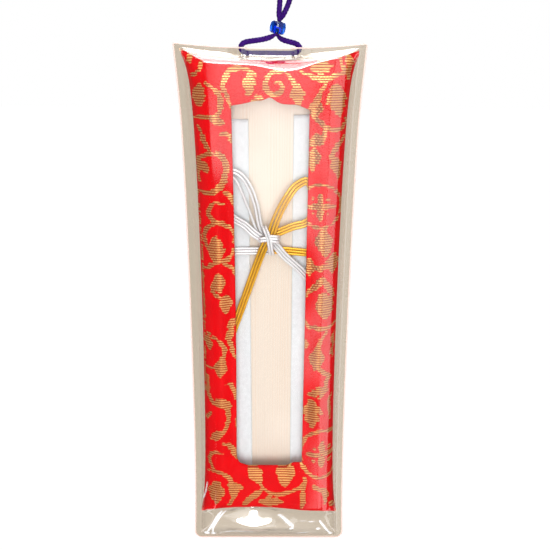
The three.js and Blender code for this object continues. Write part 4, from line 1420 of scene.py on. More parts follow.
def loop_places():
    top = LOOP_HEIGHT + CORD / 2
    return [
        in_bead(CORD_ENDS, -STRAND_ASIDE), in_bead(BEAD_MOUTH, -STRAND_ASIDE), on_cord(2.3, 8.2, -0.55),
        on_cord(2.5, 11.5, -0.3), on_cord(2.6, 16), on_cord(2.2, 22), on_cord(1, 29), on_cord(-0.6, 36),
        on_cord(-2.3, top - 10.8), on_cord(-3.2, top - 6.3), on_cord(-2.9, top - 2.8),
        on_cord(-1.6, top - 0.6), on_cord(0, top), on_cord(1.7, top - 0.6), on_cord(3.1, top - 2.8),
        on_cord(3.9, top - 6.3), on_cord(4.6, top - 10.8), on_cord(5.5, 36), on_cord(6.2, 29),
        on_cord(6.4, 22), on_cord(6, 16), on_cord(5, 11.5, 0.3), on_cord(3.5, 8.2, 0.55),
        in_bead(BEAD_MOUTH, STRAND_ASIDE), in_bead(CORD_ENDS, STRAND_ASIDE),
    ]


def braid(name, places):
    """A round braid of eight yarns over a core, thinner where the bead squeezes it"""
    path = smooth_path(places, BRAID_STEP)
    first, second = path_frames(path, (0, 1, 0))
    away = np.linalg.norm(path - BEAD_CENTRE, axis=1) - BEAD_HEIGHT / 2
    half = (CORD_IN_BEAD + (CORD - CORD_IN_BEAD) * ease(away / CORD_SQUEEZE_REACH)) / 2
    travelled = 2 * np.pi * path_lengths(path) / BRAID_PITCH
    weave = np.cos(BRAID_YARNS * travelled)
    yarns = [tube(name, path, first, second, CORE * half, CORE_SIDES)]
    for hand in (1, -1):
        for k in range(BRAID_YARNS):
            angle = (hand * travelled + 2 * np.pi * k / BRAID_YARNS)[:, None]
            out = np.cos(angle) * first + np.sin(angle) * second
            side = -np.sin(angle) * first + np.cos(angle) * second
            line = path + (half * (YARN_OUT + hand * YARN_WEAVE * weave))[:, None] * out
            yarns.append(tube(name, line, out, side, YARN * half, YARN_SIDES, YARN_FLATNESS))
    return join(name, yarns), path


def make_cords():
    finish = cord_finish()
    bridle, bridle_path = braid("braided_bridle", bridle_places())
    finish_piece(bridle, finish, "cord", "purple_cord", "cord_bridle")
    loop, loop_path = braid("braided_loop", loop_places())
    finish_piece(loop, finish, "cord", "purple_cord", "cord_loop")
    bead = bpy.data.objects["glass_bead"]
    for piece, path, carried in ((bridle, bridle_path, []), (loop, loop_path, [bead])):
        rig.cord(
            piece, exit=path[0] * MM, length=path_lengths(path)[-1] * MM, diameter=CORD * MM,
            far_end="object", stiffness="limp", lay="hanging", path=path * MM, with_pieces=carried)
    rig.squash(
        loop, "bead_slide", axis=(math.cos(BEAD_LEAN), 0, -math.sin(BEAD_LEAN)), anchor=BEAD_CENTRE * MM,
        keep=0.42)


def make_bead():
    """A barrel spun round its leaning axis, with a bore"""
    middle = BEAD_BORE / 2 + BEAD_EDGE
    lean = np.array(Matrix.Rotation(BEAD_LEAN, 3, "Y"))

    def place(u, v):
        turn = 2 * np.pi * np.rint(u * BEAD_SIDES) / BEAD_SIDES
        swing = 2 * np.pi * np.rint(v * BEAD_STEPS) / BEAD_STEPS
        across = np.sign(np.cos(swing)) * np.abs(np.cos(swing)) ** BEAD_CURVE
        radius = middle + np.where(across > 0, BEAD_WIDTH / 2 - middle, BEAD_EDGE) * across
        height = BEAD_HEIGHT / 2 * np.sin(swing)
        points = np.stack([radius * np.cos(turn), radius * np.sin(turn), height], axis=1)
        return points @ lean.T + BEAD_CENTRE

    piece = grid_piece("glass_bead", BEAD_SIDES, BEAD_STEPS, place)
    edit(close_seam, outward)
    finish_piece(piece, glass_finish(), "bead", "blue_glass", "bead")


def outward():
    bpy.ops.mesh.normals_make_consistent(inside=False)


# Case

def film_places(u, v):
    """Crowded towards the welds"""
    side = 2 * u - 1
    span = side + FILM_CROWDING_SIDE * np.sin(np.pi * side)
    depth = v - FILM_CROWDING_END * np.sin(2 * np.pi * v) / (2 * np.pi)
    z = CASE_BOTTOM + (CASE_TOP + TOP_CORNERS_UP - CASE_BOTTOM) * depth
    x = span * case_half(z)
    return x, CASE_BOTTOM + (top_edge(x) - CASE_BOTTOM) * depth


# Painted highlight streaks on the empty pocket below the cushion, along its folds: half width and places, in
# millimetres
POCKET_GLARE_STREAKS = [
    (0.4, [(-15.9, -200.6), (-17.2, -203), (-18.4, -205.4), (-20, -208.8), (-21.4, -212.2)]),
    (0.3, [(-14.6, -200.8), (-17.2, -204.6), (-19, -208.6), (-19.4, -212.4)]),
    (0.34, [(17.4, -205.6), (18.8, -208), (20.2, -210.8), (21.4, -213)]),
    (0.42, [(3.6, -203.2), (6, -205), (8, -207.2), (7.4, -209)]),
    (0.14, [(-20.6, -190.6), (-21.4, -195), (-22.4, -198.4)]),
    (0.1, [(9.6, -205.2), (12.4, -205.6), (16, -206)]),
    (0.12, [(-17, -212.6), (-12.6, -211.2), (-9, -211.4), (-5, -212)]),
    (0.1, [(9.8, -212.8), (12.6, -212.4), (14.6, -211.8)]),
]
# Painted highlight spots where the streaks meet: place and radius
POCKET_GLARE_SPOTS = [
    (-21.4, -212.6, 0.9), (-19.2, -213, 0.7), (17, -209.6, 0.6), (8, -208.6, 0.5), (21.4, -213, 0.6),
]


# Dots of the painted highlight streaks and spots on the pocket's film
def glare_streak_dots():
    glare_streaks = [vine_dots(half, places) for half, places in POCKET_GLARE_STREAKS]
    return np.vstack([*glare_streaks, POCKET_GLARE_SPOTS])


def film_wrinkles(x, z):
    """Waves of the slack film, and the pocket: pressed in at the cushion, round below it"""
    from_top = top_edge(x) - z - weld_top(x)
    from_side = case_half(z) - np.abs(x) - WELD_SIDE
    from_bottom = z - CASE_BOTTOM - WELD_BOTTOM
    free = ease(from_top / SLACK_EASE) * ease(from_side / SLACK_EASE) * ease(from_bottom / SLACK_EASE)
    waves = 0
    for rise, across, up, length, start in FILM_WAVES:
        waves = waves + rise * np.sin(2 * np.pi * (across * x + up * z) / length + start)
    under = cushion_bottom(x) + POCKET_TOP
    middle = bell(x, POCKET_X, POCKET_HALF)
    reach = np.where(z > under, DENT_REACH_UP, DENT_REACH_DOWN)
    dent = -(DENT + DENT_MIDDLE * middle) * bell(z, under, reach)
    ridge = (RIDGE + RIDGE_MIDDLE * middle) * bell(z, under - RIDGE_DOWN, RIDGE_REACH)
    hook = HOOK * bell(x, HOOK_X, HOOK_WIDTH) * bell(z, under - HOOK_DOWN, HOOK_HEIGHT)
    return free * (waves + dent + ridge + hook)


def port_cutters():
    size_mm = np.array([PORT_WIDTH, 4 * FILM_BACK, 2 * PORT_DEPTH])
    ports = (-PORT_MIDDLE, PORT_MIDDLE)
    return [box_piece("port_cutter", size_mm, np.array([x, 0, CASE_TOP])) for x in ports]


def film_height(x, z, height, crown, side):
    """How far a film stands off the weld: clear of the cushion, and round the cord at the ports"""
    slack = film_wrinkles(x, z) * (1 if side < 0 else REAR_SLACK)
    rise = FILM + (height - FILM) * film_share(x, z) + slack
    inside = (np.abs(x) < cushion_half(z)) & (z < cushion_top(x)) & (z > cushion_bottom(x))
    covered = np.where(inside, cushion_rise(x, z, crown) + FILM_CLEAR, FILM)
    down = z - CASE_TOP
    lip = PORT_LIP * bell(np.abs(x), PORT_X, PORT_LIP_REACH) * ease((down + PORT_LIP_BELOW) / PORT_LIP_EASE)
    over_cord = ease((down + CROSSING + DRAPE_BELOW) / DRAPE_EASE)
    over_cord = DRAPE * over_cord * ease((PORT_X + DRAPE_PAST - np.abs(x)) / DRAPE_EASE_SIDE)
    return np.maximum.reduce([rise, covered, FILM + lip, FILM + over_cord])


def film_attributes(piece, side):
    """How far each point lies from the rim, and how white the painted highlight makes the pocket's film there"""
    points = read_points(piece) / MM
    x, z = points[:, 0], points[:, 2]
    edge = np.minimum.reduce([case_half(z) - np.abs(x), top_edge(x) - z, z - CASE_BOTTOM])
    write_attribute(piece, "edge", edge)
    # Painted highlight: white streaks and spots on the pocket's film, spread from the listed streak dots
    white = np.zeros(len(x))
    if side < 0:
        low = z < CUSHION_BOTTOM + GLARE_ABOVE
        inside = -dots_distance(points[low][:, ::2], glare_streak_dots())
        white[low] = GLARE_WHITE * ease(inside / GLARE_EASE + 0.5)
    write_attribute(piece, "painted_glare", white)


def film_piece(name, height, crown, side, material, node):
    """One film: side is -1 for the front and 1 for the back"""
    def place(u, v):
        x, z = film_places(u if side < 0 else 1 - u, v)
        return np.stack([x, side * film_height(x, z, height, crown, side), z], axis=1)

    piece = grid_piece(name, FILM_COLUMNS, FILM_ROWS, place)
    modify(piece, "SOLIDIFY", thickness=FILM_SKIN * MM, offset=-1)
    for cutter in port_cutters():
        modify(piece, "BOOLEAN", operation="DIFFERENCE", solver="EXACT", object=cutter)
        bpy.data.objects.remove(cutter)
    film_attributes(piece, side)
    return finish_piece(piece, material, "charm", "clear_film", node)


def film_tabs(name, height, crown, side, material):
    """The soft film in the two slots, which stays with the cord above the crossing as the case swings"""
    tabs = []
    for port in (-PORT_MIDDLE, PORT_MIDDLE):
        def place(u, v):
            across = u if side < 0 else 1 - u
            x = port + (PORT_WIDTH / 2 - TAB_GAP) * (2 * across - 1)
            foot = CASE_TOP - PORT_DEPTH + TAB_GAP
            z = foot + (top_edge(x) - foot) * v
            return np.stack([x, side * film_height(x, z, height, crown, side), z], axis=1)

        tabs.append(grid_piece(name, TAB_COLUMNS, TAB_ROWS, place))
    piece = join(name, tabs)
    modify(piece, "SOLIDIFY", thickness=FILM_SKIN * MM, offset=-1)
    film_attributes(piece, side)
    piece.data.materials.append(material)
    smooth_shade(piece)
    crossing = CASE_TOP - CROSSING
    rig.blend(piece, "charm", "cord", start=(0, 0, (crossing - 1.1) * MM), end=(0, 0, (crossing + 0.2) * MM))
    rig.slot(piece, "clear_film")


def make_films():
    values = look("charm_film")
    front = film_finish("front_film", values.front_tint, FRONT_SHININESS, FRONT_ROUGHNESS)
    film_piece("film_front", FILM_FRONT, CROWN_FRONT, -1, front, "case_front_film")
    film_tabs("port_tabs_front", FILM_FRONT, CROWN_FRONT, -1, front)
    rear = film_finish("rear_film", values.rear_tint, REAR_SHININESS, REAR_ROUGHNESS)
    film_piece("film_rear", FILM_BACK, CROWN_BACK, 1, rear, "case_rear_film")
    film_tabs("port_tabs_rear", FILM_BACK, CROWN_BACK, 1, rear)


# Cushion

# Rows of the hem: how far from the window's edge they lie and how deep under it
HEM = [(HEM_WIDTH, HEM_FOLD), (HEM_WIDTH * 0.4, HEM_FOLD), (0.1, HEM_FOLD * 0.8), (-0.08, HEM_FOLD * 0.35)]


def front_places(step, ring):
    """Flat place of a ring's point, from the window out to the seam"""
    inner_x, inner_z = window_outline(step)
    outer_x, outer_z = cushion_outline(step)
    span = 1 - (1 - np.clip(ring / RINGS, 0, 1)) ** RING_CROWDING
    return inner_x + (outer_x - inner_x) * span, inner_z + (outer_z - inner_z) * span


def hem_place(step, row):
    """A point of the cloth turned under at the window"""
    inner_x, inner_z = window_outline(step)
    outer_x, outer_z = cushion_outline(step)
    out, under = np.array(HEM)[row].T
    out = out / np.hypot(outer_x - inner_x, outer_z - inner_z)
    y = -front_height(inner_x, inner_z) + under
    return inner_x + (outer_x - inner_x) * out, y, inner_z + (outer_z - inner_z) * out


def front_panel_grid():
    rows = RINGS + len(HEM)

    def place(u, v):
        step = np.rint(u * AROUND)
        row = np.rint((1 - v) * rows).astype(int)
        ring = row - len(HEM)
        x, z = front_places(step, ring)
        panel = np.stack([x, -front_height(x, z), z], axis=1)
        hem = np.stack(hem_place(step, np.minimum(row, len(HEM) - 1)), axis=1)
        return np.where(ring[:, None] < 0, hem, panel)

    piece = grid_piece("brocade_front", AROUND, rows, place)
    uv = read_uv(piece)
    ring = np.rint((1 - uv[:, 1]) * rows) - len(HEM)
    flat_x, flat_z = cloth_coordinates(*front_places(np.rint(uv[:, 0] * AROUND), ring))
    write_uv(piece, np.stack([flat_x, flat_z + HEM_STEP * np.minimum(ring, 0)], axis=1))
    edit(close_seam)
    return piece


def cloth_coordinates(x, z):
    """Millimetres along the cloth: longer than it looks near the seam, its weft wider apart further down"""
    over = np.maximum(np.abs(x) - (CUSHION_WAIST_HALF - CLOTH_STEEP), 0) / CLOTH_STEEP
    under = np.clip(CUSHION_BOTTOM + CLOTH_FOOT - z, 0, CLOTH_FOOT)
    weft = -WEFT_REACH * np.log1p((CASE_TOP - z) / WEFT_REACH) + CLOTH_FOOT_TURN * under ** 2
    return x + np.sign(x) * CLOTH_OVER * over ** 2, weft


def puff(piece, pinned):
    """Blows the sewn cloth up against its pins, a little slack so that it wrinkles"""
    start = read_points(piece)
    write_points(piece, start * SIM_SCALE)
    group = piece.vertex_groups.new(name="pins")
    group.add([int(i) for i in np.flatnonzero(pinned)], 1.0, "REPLACE")
    activate(piece)
    bpy.ops.object.modifier_add(type="CLOTH")
    cloth = piece.modifiers[-1]
    for key, value in SIM_CLOTH.items():
        setattr(cloth.settings, key, value)
    cloth.settings.vertex_group_mass = group.name
    cloth.settings.effector_weights.gravity = 0
    cloth.collision_settings.use_collision = False
    scene = bpy.context.scene
    for step in range(1, SIM_FRAMES + 1):
        scene.frame_set(step)
    bpy.ops.object.modifier_apply(modifier=cloth.name)
    scene.frame_set(1)
    moved = read_points(piece) / SIM_SCALE - start
    far = np.linalg.norm(moved, axis=1)
    cap = SIM_CAP * MM
    limited = moved * (np.tanh(far / cap) * cap / np.maximum(far, 1e-9))[:, None]
    write_points(piece, start + limited)
    piece.vertex_groups.clear()


def scroll_attribute(piece, whole=False):
    """Distance to the scrolls; whole cloth has them mirrored into its middle as well, and turned round"""
    points = read_points(piece) / MM
    dots = scroll_dots()
    if whole:
        inner = dots[np.abs(dots[:, 0]) > WHOLE_FOLD]
        inner = inner * [-1, 1, 1] + np.sign(inner[:, :1]) * [2 * WHOLE_FOLD, 0, 0]
        dots = np.vstack([dots, inner]) * [-1, 1, 1]
    flat = np.stack([points[:, 0], points[:, 2] - CASE_TOP], axis=1)
    write_attribute(piece, "scroll", dots_distance(flat, dots))


def make_front_panel(material):
    piece = front_panel_grid()
    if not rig.quick():
        puff(piece, front_pins(piece))
    modify(piece, "SUBSURF", levels=2, render_levels=2)
    scroll_attribute(piece)
    modify(piece, "SOLIDIFY", thickness=CLOTH * MM, offset=-1)
    finish_piece(piece, material, "charm", "brocade", "brocade_front_panel")
    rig.padded(piece, fill=0.7)


def front_pins(piece):
    """Points of the hem and of the seam, which hold the cloth"""
    x, y, z = read_points(piece).T / MM
    edge = np.abs(outside_window(x, z)) < PIN_REACH
    hem = y > -front_height(x, z) + PIN_DEPTH
    seam = y > -SEAM_HALF - PIN_REACH
    return edge | hem | seam


def make_back_panel(material):
    def place(u, v):
        side = 1 - 2 * u
        span = side + BACK_CROWDING_SIDE * np.sin(np.pi * side)
        depth = v - BACK_CROWDING_END * np.sin(2 * np.pi * v) / (2 * np.pi)
        top = cushion_top(span * cushion_half(np.array(CUSHION_TOP)))
        bottom = cushion_bottom(span * cushion_half(np.array(CUSHION_BOTTOM)))
        z = bottom + (top - bottom) * depth
        x = span * cushion_half(z)
        ripple = np.sin(2 * np.pi * (z + RIPPLE_LEAN * x) / RIPPLE_LENGTH) * cushion_share(x, z)
        y = cushion_rise(x, z, CROWN_BACK) - RIPPLE + RIPPLE * ripple
        return np.stack([x, y, z], axis=1)

    piece = grid_piece("brocade_back", BACK_COLUMNS, BACK_ROWS, place)
    points = read_points(piece) / MM
    flat = np.stack(cloth_coordinates(points[:, 0], points[:, 2]), axis=1)
    write_uv(piece, flat[loop_vertices(piece)])
    scroll_attribute(piece, True)
    modify(piece, "SOLIDIFY", thickness=CLOTH * MM, offset=-1)
    finish_piece(piece, material, "charm", "brocade", "brocade_back_panel")
    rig.padded(piece, fill=0.5)


def wadding_places(step, span):
    """From the opening round the slip, at 0, out to the cushion's rim, at 1"""
    half = BELT_HIGH[0] + WADDING_CLEAR

    def opening(value):
        return lambda place: value + 0 * place

    inner_x, inner_z = four_sides(
        step, opening(-half), opening(half), opening(SLIP_HIGH[2] + WADDING_CLEAR_END),
        opening(SLIP_LOW[2] - WADDING_CLEAR_END), SLIP_HIGH[2], SLIP_LOW[2])
    outer_x, outer_z = four_sides(
        step, lambda z: WADDING_INSET - cushion_half(z), lambda z: cushion_half(z) - WADDING_INSET,
        lambda x: cushion_top(x) - WADDING_INSET, lambda x: cushion_bottom(x) + WADDING_INSET,
        CUSHION_TOP, CUSHION_BOTTOM)
    return inner_x + (outer_x - inner_x) * span, inner_z + (outer_z - inner_z) * span


def make_padding():
    """The wadding: a soft ring round the slip, fluffy all over"""
    deepest = box_mm("padding_frame")[1][1]

    def place(u, v):
        turn = 2 * np.pi * np.rint(v * WADDING_SIDES) / WADDING_SIDES
        x, z = wadding_places(np.rint(u * AROUND), 0.5 - 0.5 * np.cos(turn))
        front = -front_height(x, z) + CLOTH + WADDING_FRONT
        back = np.minimum(deepest, cushion_rise(x, z, CROWN_BACK) - CLOTH - WADDING_BACK)
        puffed = 0.5 + 0.5 * np.sign(np.sin(turn)) * np.abs(np.sin(turn)) ** WADDING_CURVE
        fluff = FLUFF * np.sin(1.9 * x + 0.8 * z) * np.sin(1.3 * z - 0.7 * x)
        return np.stack([x, front + (back - front) * puffed + fluff, z], axis=1)

    piece = grid_piece("wadding_ring", AROUND, WADDING_SIDES, place)
    edit(close_seam, outward)
    finish_piece(piece, wadding_finish(), "charm", "wadding", "padding_frame")
    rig.padded(piece, fill=0.6)


def make_seam():
    """Slanted stitches over the seam that joins the two panels"""
    x, z = cushion_outline(np.arange(0, AROUND, 0.25))
    rim = even_path(np.stack([x, 0 * x, z], axis=1), STITCH_PITCH)
    along = headings(rim)
    outside = np.cross(along, (0, -1, 0))
    bend = np.linspace(-1, 1, 9)[:, None]
    stitches = []
    for centre, direction, out in zip(rim[:-1], along, outside):
        run = direction * (STITCH_SLANT * STITCH) + np.array([0, STITCH_DEPTH, 0])
        line = centre + run * bend + out * (STITCH_OUT - STITCH_DEPTH * bend ** 2)
        stitches.append(tube("stitch", line, *path_frames(line, out), THREAD, THREAD_SIDES))
    piece = join("seam_stitches", stitches)
    finish_piece(piece, thread_finish(), "charm", "sewing_thread", "seam_thread")


def make_card():
    node = frame["nodes"]["backing_card"]
    node.data.materials.clear()
    node.data.materials.append(card_finish())


# Slip and paper

def make_slip():
    piece = box_piece("planed_slip", SLIP_HIGH - SLIP_LOW, (SLIP_HIGH + SLIP_LOW) / 2)
    modify(piece, "BEVEL", width=SLIP_BEVEL * MM, segments=3)
    finish_piece(piece, wood_finish(), "charm", "slip_wood", "wooden_slip")
    activate(piece)
    bpy.ops.object.shade_smooth_by_angle(angle=math.radians(35))


def paper_section():
    """The sheet seen from above: flap, side, back, side, flap"""
    front, back, out = PAPER_LOW[1], PAPER_HIGH[1], PAPER_HIGH[0]
    turn = np.linspace(0, np.pi / 2, 5)
    quarter = np.stack([np.sin(turn), 1 - np.cos(turn)], axis=1) * PAPER_CORNER
    flap = [(BARE_HALF, front - FLAP_LIFT), (BARE_HALF + FLAP_BEND, front), (out - PAPER_CORNER - 1, front)]
    flap += [(out - PAPER_CORNER + a, front + b) for a, b in quarter]
    flap += [(out - b, back - PAPER_CORNER + a) for a, b in quarter]
    half = np.array(flap + [(out / 2, back)])
    section = np.vstack([half * [-1, 1], [(0, back)], half[::-1]])
    return even_path(np.column_stack([section, np.zeros(len(section))]), PAPER_STEP)[:, :2]


def make_paper():
    """One sheet folded round the slip"""
    section = paper_section()
    columns = len(section) - 1
    out = PAPER_HIGH[0]

    def place(u, v):
        x, y = section[np.rint(u * columns).astype(int)].T
        on_front = y < PAPER_LOW[1] + FLAP_DEPTH
        left = WINDOW_TOP - FLAP_DOWN_LEFT - FLAP_SLOPE * (x + FLAP_MIDDLE)
        right = WINDOW_TOP - FLAP_DOWN_RIGHT + FLAP_SLOPE * (x - FLAP_MIDDLE)
        top = np.where(on_front, np.where(x < 0, left, right), WINDOW_TOP - PAPER_DOWN)
        z = PAPER_LOW[2] + (top - PAPER_LOW[2]) * v
        free = np.clip((out - np.abs(x)) / (out - BARE_HALF), 0, 1) * on_front
        drift = (FLAP_DRIFT + FLAP_DRIFT_DOWN * window_fall(z)) * free
        wave = FLAP_WAVE * np.sin(2 * np.pi * z / FLAP_WAVE_LENGTH + x) * on_front
        return np.stack([x + drift, y + wave, z], axis=1)

    piece = grid_piece("folded_paper", columns, PAPER_ROWS, place)
    edit(outward)
    modify(piece, "SOLIDIFY", thickness=PAPER * MM, offset=-1)
    finish_piece(piece, paper_finish(), "charm", "white_paper", "paper_wrap")


# Paper cord of the bow

def knot_places(places):
    """Places from the knot, right and up in millimetres, with their depth"""
    return [(KNOT_X + x, y, KNOT_Z + z) for x, z, y in places]


def band(name, places, strands, stray=0.0, across=None):
    """Strands side by side along one route; the last one strays from the others in the middle of a loop"""
    path = smooth_path(places, STRAND_STEP)
    wish = np.cross(headings(path), (0, -1, 0)) if across is None else across
    first, second = path_frames(path, wish)
    at = path_lengths(path) / path_lengths(path)[-1]
    apart = stray * np.sin(np.pi * np.clip((at - STRAY_FROM) / STRAY_OVER, 0, 1)) ** 2
    tubes = []
    for k in range(strands):
        aside = (k - (strands - 1) / 2) * STRAND * STRAND_PACKING + apart * (k / (strands - 1)) ** 3
        lift = STRAND_WAVER * (k % 2) * np.sin(6 * np.pi * at)
        line = path + aside[:, None] * first + lift[:, None] * second
        tubes.append(tube(name, line, *path_frames(line, first), STRAND / 2 * STRAND_ROUND, STRAND_SIDES))
    return join(name, tubes)


def make_bows(silver, gold):
    silver_places = [
        (-1.9, 1, OVER), (-4, 2.4, OVER), (-6.4, 4.4, UNDER), (-9.4, 6.3, UNDER), (-11.2, 7.8, UNDER),
        (-12, 10.8, UNDER), (-12.1, 14.4, UNDER), (-11.8, 18, UNDER), (-10.9, 20, UNDER),
        (-9.4, 20.1, UNDER), (-7.4, 18.8, UNDER), (-5.3, 15.6, UNDER), (-3.6, 10.7, UNDER),
        (-2.4, 4.2, UNDER), (-1, 1, UNDER), (0.6, -0.2, UNDER), (2.2, -1.3, UNDER), (5.2, -4.9, UNDER),
        (8.3, -7.7, UNDER), (11.3, -10.7, UNDER), (12.4, -11.8, UNDER),
    ]
    gold_places = [
        (1.9, 2.2, UNDER), (3.3, 2.5, UNDER), (7.4, 4.2, UNDER), (11.4, 5.4, UNDER), (12.7, 6.8, UNDER),
        (13.1, 9.8, UNDER), (13, 13.6, UNDER), (12.5, 16.6, UNDER), (11.3, 17.8, UNDER),
        (8.3, 16.3, UNDER), (5.8, 13.1, OVER), (3.6, 8.9, OVER), (2, 4.7, OVER), (1.4, 2.7, OVER),
        (0.4, 0.6, OVER), (-1, -2.1, OVER), (-2.8, -6.9, UNDER), (-5.5, -14.7, UNDER),
        (-9.1, -25.2, UNDER), (-10.8, -30, UNDER),
    ]
    bow = band("silver_bow", knot_places(silver_places), BAND_STRANDS, STRAY_SILVER)
    finish_piece(bow, silver, "charm", "silver_paper_cord", "bow_silver")
    bow = band("gold_bow", knot_places(gold_places), BAND_STRANDS, STRAY_GOLD)
    finish_piece(bow, gold, "charm", "gold_paper_cord", "bow_gold")


def make_knot(silver):
    """The silver turn over the crossing, with the shoulders of the knot on both sides"""
    wrap = [
        (-1, 3.6, BELT_FRONT), (-0.9, 4.2, OVER), (-0.3, 3.2, WRAP), (0.5, 0.8, WRAP), (1, -2.3, WRAP),
        (1.3, -4.1, OVER), (1.3, -3.9, BELT_FRONT),
    ]
    left = [
        (-0.2, 0.9, WRAP), (-1.2, 0.8, WRAP), (-2, 0.7, WRAP), (-2.5, 0.6, OVER), (-2.1, 0.5, UNDER),
        (-1, 0.4, UNDER),
    ]
    right = [
        (0.6, 0.9, WRAP), (1.6, 1, WRAP), (2.7, 0.9, WRAP), (3.3, 0.7, OVER), (2.9, 0.5, UNDER),
        (1.8, 0.4, UNDER),
    ]
    parts = [
        band("wrap", knot_places(wrap), 2, 0, (1, 0, 0)),
        band("shoulder", knot_places(left), 2, 0, (0, 0, 1)),
        band("shoulder", knot_places(right), 3, 0, (0, 0, 1)),
    ]
    knot = join("knot", parts)
    finish_piece(knot, silver, "charm", "silver_paper_cord", "knot_wrap")


def belt_places(side):
    corner = BELT_OUT - BELT_TURN
    turn = np.linspace(0, np.pi / 2, 4)
    places = [(BELT_END, BELT_FRONT), (BELT_OUT / 2, BELT_FRONT)]
    places += [(corner + BELT_TURN * math.sin(t), BELT_FRONT + BELT_TURN * (1 - math.cos(t))) for t in turn]
    places += [(corner + BELT_TURN * math.cos(t), BELT_BACK - BELT_TURN * (1 - math.sin(t))) for t in turn]
    places += [(BELT_OUT / 2, BELT_BACK), (BELT_END, BELT_BACK)]
    waver = BELT_WAVER_GOLD if side > 0 else BELT_WAVER_SILVER
    return [(side * x, y, BELT_Z + waver * math.cos(math.pi * x / BELT_OUT)) for x, y in places]


def make_belts(silver, gold):
    belt = band("silver_belt", belt_places(-1), BAND_STRANDS, 0, (0, 0, 1))
    finish_piece(belt, silver, "charm", "silver_paper_cord", "belt_silver")
    belt = band("gold_belt", belt_places(1), BAND_STRANDS, 0, (0, 0, 1))
    finish_piece(belt, gold, "charm", "gold_paper_cord", "belt_gold")


# Stage

def make_camera():
    bpy.ops.object.camera_add(location=CAMERA_PLACE)
    camera = bpy.context.object
    turn = Matrix.Rotation(CAMERA_YAW, 4, "Z") @ Matrix.Rotation(CAMERA_TILT, 4, "X")
    turn = turn @ Matrix.Rotation(CAMERA_ROLL, 4, "Z")
    camera.rotation_euler = turn.to_euler()
    camera.data.lens = LENS
    camera.data.sensor_width = 36
    camera.data.clip_start = 0.01
    bpy.context.scene.camera = camera


def make_lamp(name, place, turn, width, height, power):
    bpy.ops.object.light_add(type="AREA", location=place, rotation=turn)
    lamp = bpy.context.object
    lamp.name = name
    lamp.data.shape = "RECTANGLE"
    lamp.data.size = width
    lamp.data.size_y = height
    lamp.data.energy = power
    return lamp


def make_world(strength):
    """White to the eye and in reflections, softer as light"""
    finish = Finish("studio", "worlds")
    level_here = finish.node("ShaderNodeMapRange", None, {"Value": finish.seen(), "To Min": strength})
    white = {"Color": (1, 1, 1), "Strength": level_here.outputs[0]}
    white = finish.node("ShaderNodeBackground", None, white).outputs[0]
    bpy.context.scene.world = finish.done(white, "ShaderNodeOutputWorld")


def make_floor(drop):
    finish = Finish("pale_floor")
    matt = finish.principled(base_color=(0.9, 0.9, 0.9), roughness=0.8)
    white = {"Color": (1, 1, 1), "Strength": FLOOR_GLOW}
    white = finish.node("ShaderNodeEmission", None, white).outputs[0]
    deselect()
    bpy.ops.mesh.primitive_plane_add(size=FLOOR_SIZE, location=(0, 0, CASE_BOTTOM * MM - drop))
    floor = rename(bpy.context.object, "floor")
    floor.data.materials.append(finish.done(finish.blend(finish.seen() * FLOOR_SEEN, matt, white)))
    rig.stage(floor)


def make_flag(name, low, high, material):
    """A dark studio flag that only reflections see, from its lowest to its highest corner"""
    first, second = [axis for axis in range(3) if low[axis] != high[axis]]
    corners = np.array([low, low, low, low], float)
    corners[[1, 3], first] = high[first]
    corners[[2, 3], second] = high[second]
    deselect()
    bpy.ops.mesh.primitive_plane_add(size=1)
    flag = rename(bpy.context.object, name)
    write_points(flag, corners)
    flag.data.materials.append(material)
    flag.visible_camera = False
    flag.visible_diffuse = False
    flag.visible_shadow = False
    flag.visible_transmission = False
    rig.stage(flag)


def flag_finish():
    """Dark to the left of an edge that steps to the right further down, and at the far right"""
    finish = Finish("flag")
    across = finish.object_axis(0)
    down = 0 - finish.object_axis(2)
    edge = 113 * down.ramp(140, 262) - 63
    open_part = (across - edge).ramp(-34, 34) * across.ramp(86, 78) * 0.85
    dark = finish.principled(base_color=FLAG_DARK, roughness=0.9)
    clear = finish.node("ShaderNodeBsdfTransparent").outputs[0]
    return finish.done(finish.blend(open_part, dark, clear))


def make_stage():
    values = look("charm_stage")
    bpy.context.scene.view_settings.view_transform = "Standard"
    make_world(values.world)
    make_floor(values.floor_drop)
    upright = (math.pi / 2, 0, 0)
    tall = BOX_HIGH - BOX_LOW
    deep = BOX_BACK - BOX_FRONT
    watts = math.pi * BOX_WIDTH
    key = values.key * watts
    in_front = (0, BOX_FRONT, (BOX_HIGH + BOX_LOW) / 2)
    overhead = (0, (BOX_FRONT + BOX_BACK) / 2, BOX_HIGH)
    make_lamp("front_softbox", in_front, upright, BOX_WIDTH, tall, key * tall)
    make_lamp("top_softbox", overhead, (0, 0, 0), BOX_WIDTH, deep, key * deep)
    make_lamp("back_fill", (0, 0.6, 0.15), (math.radians(-65), 0, 0), 0.5, 0.5, values.fill)
    low_fill = make_lamp("low_fill", (0, -0.7, -0.35), upright, 0.6, 0.6, values.low)
    low_fill.visible_glossy = False
    glare = values.strip * watts * STRIP_TALL
    strip = make_lamp("strip", (0, BOX_FRONT + 0.004, 0.15), upright, BOX_WIDTH, STRIP_TALL, glare)
    strip.visible_diffuse = False
    strip.data.shape = "ELLIPSE"
    near = BOX_FRONT + 0.01
    stepped = flag_finish()
    dark = Finish("dark_flag")
    dark = dark.done(dark.principled(base_color=FLAG_DARK, roughness=0.9))
    make_flag("front_flag", (-FLAG_OUT, near, -0.75), (0.096, near, FLAG_TOP), stepped)
    make_flag("side_flag", (-FLAG_OUT, near, -0.6), (-FLAG_OUT, FLAG_BACK, 0.6), dark)
    make_flag("left_flag", (-FLAG_OUT, near, FLAG_TOP), (-0.13, near, 0.6), dark)
    make_flag("right_flag", (FLAG_OUT, -0.08, -0.6), (FLAG_OUT, FLAG_BACK, 0.1), dark)
    make_flag("low_flag", (-FLAG_OUT, near, -0.7), (FLAG_OUT, FLAG_BACK, -0.7), dark)


# Operators

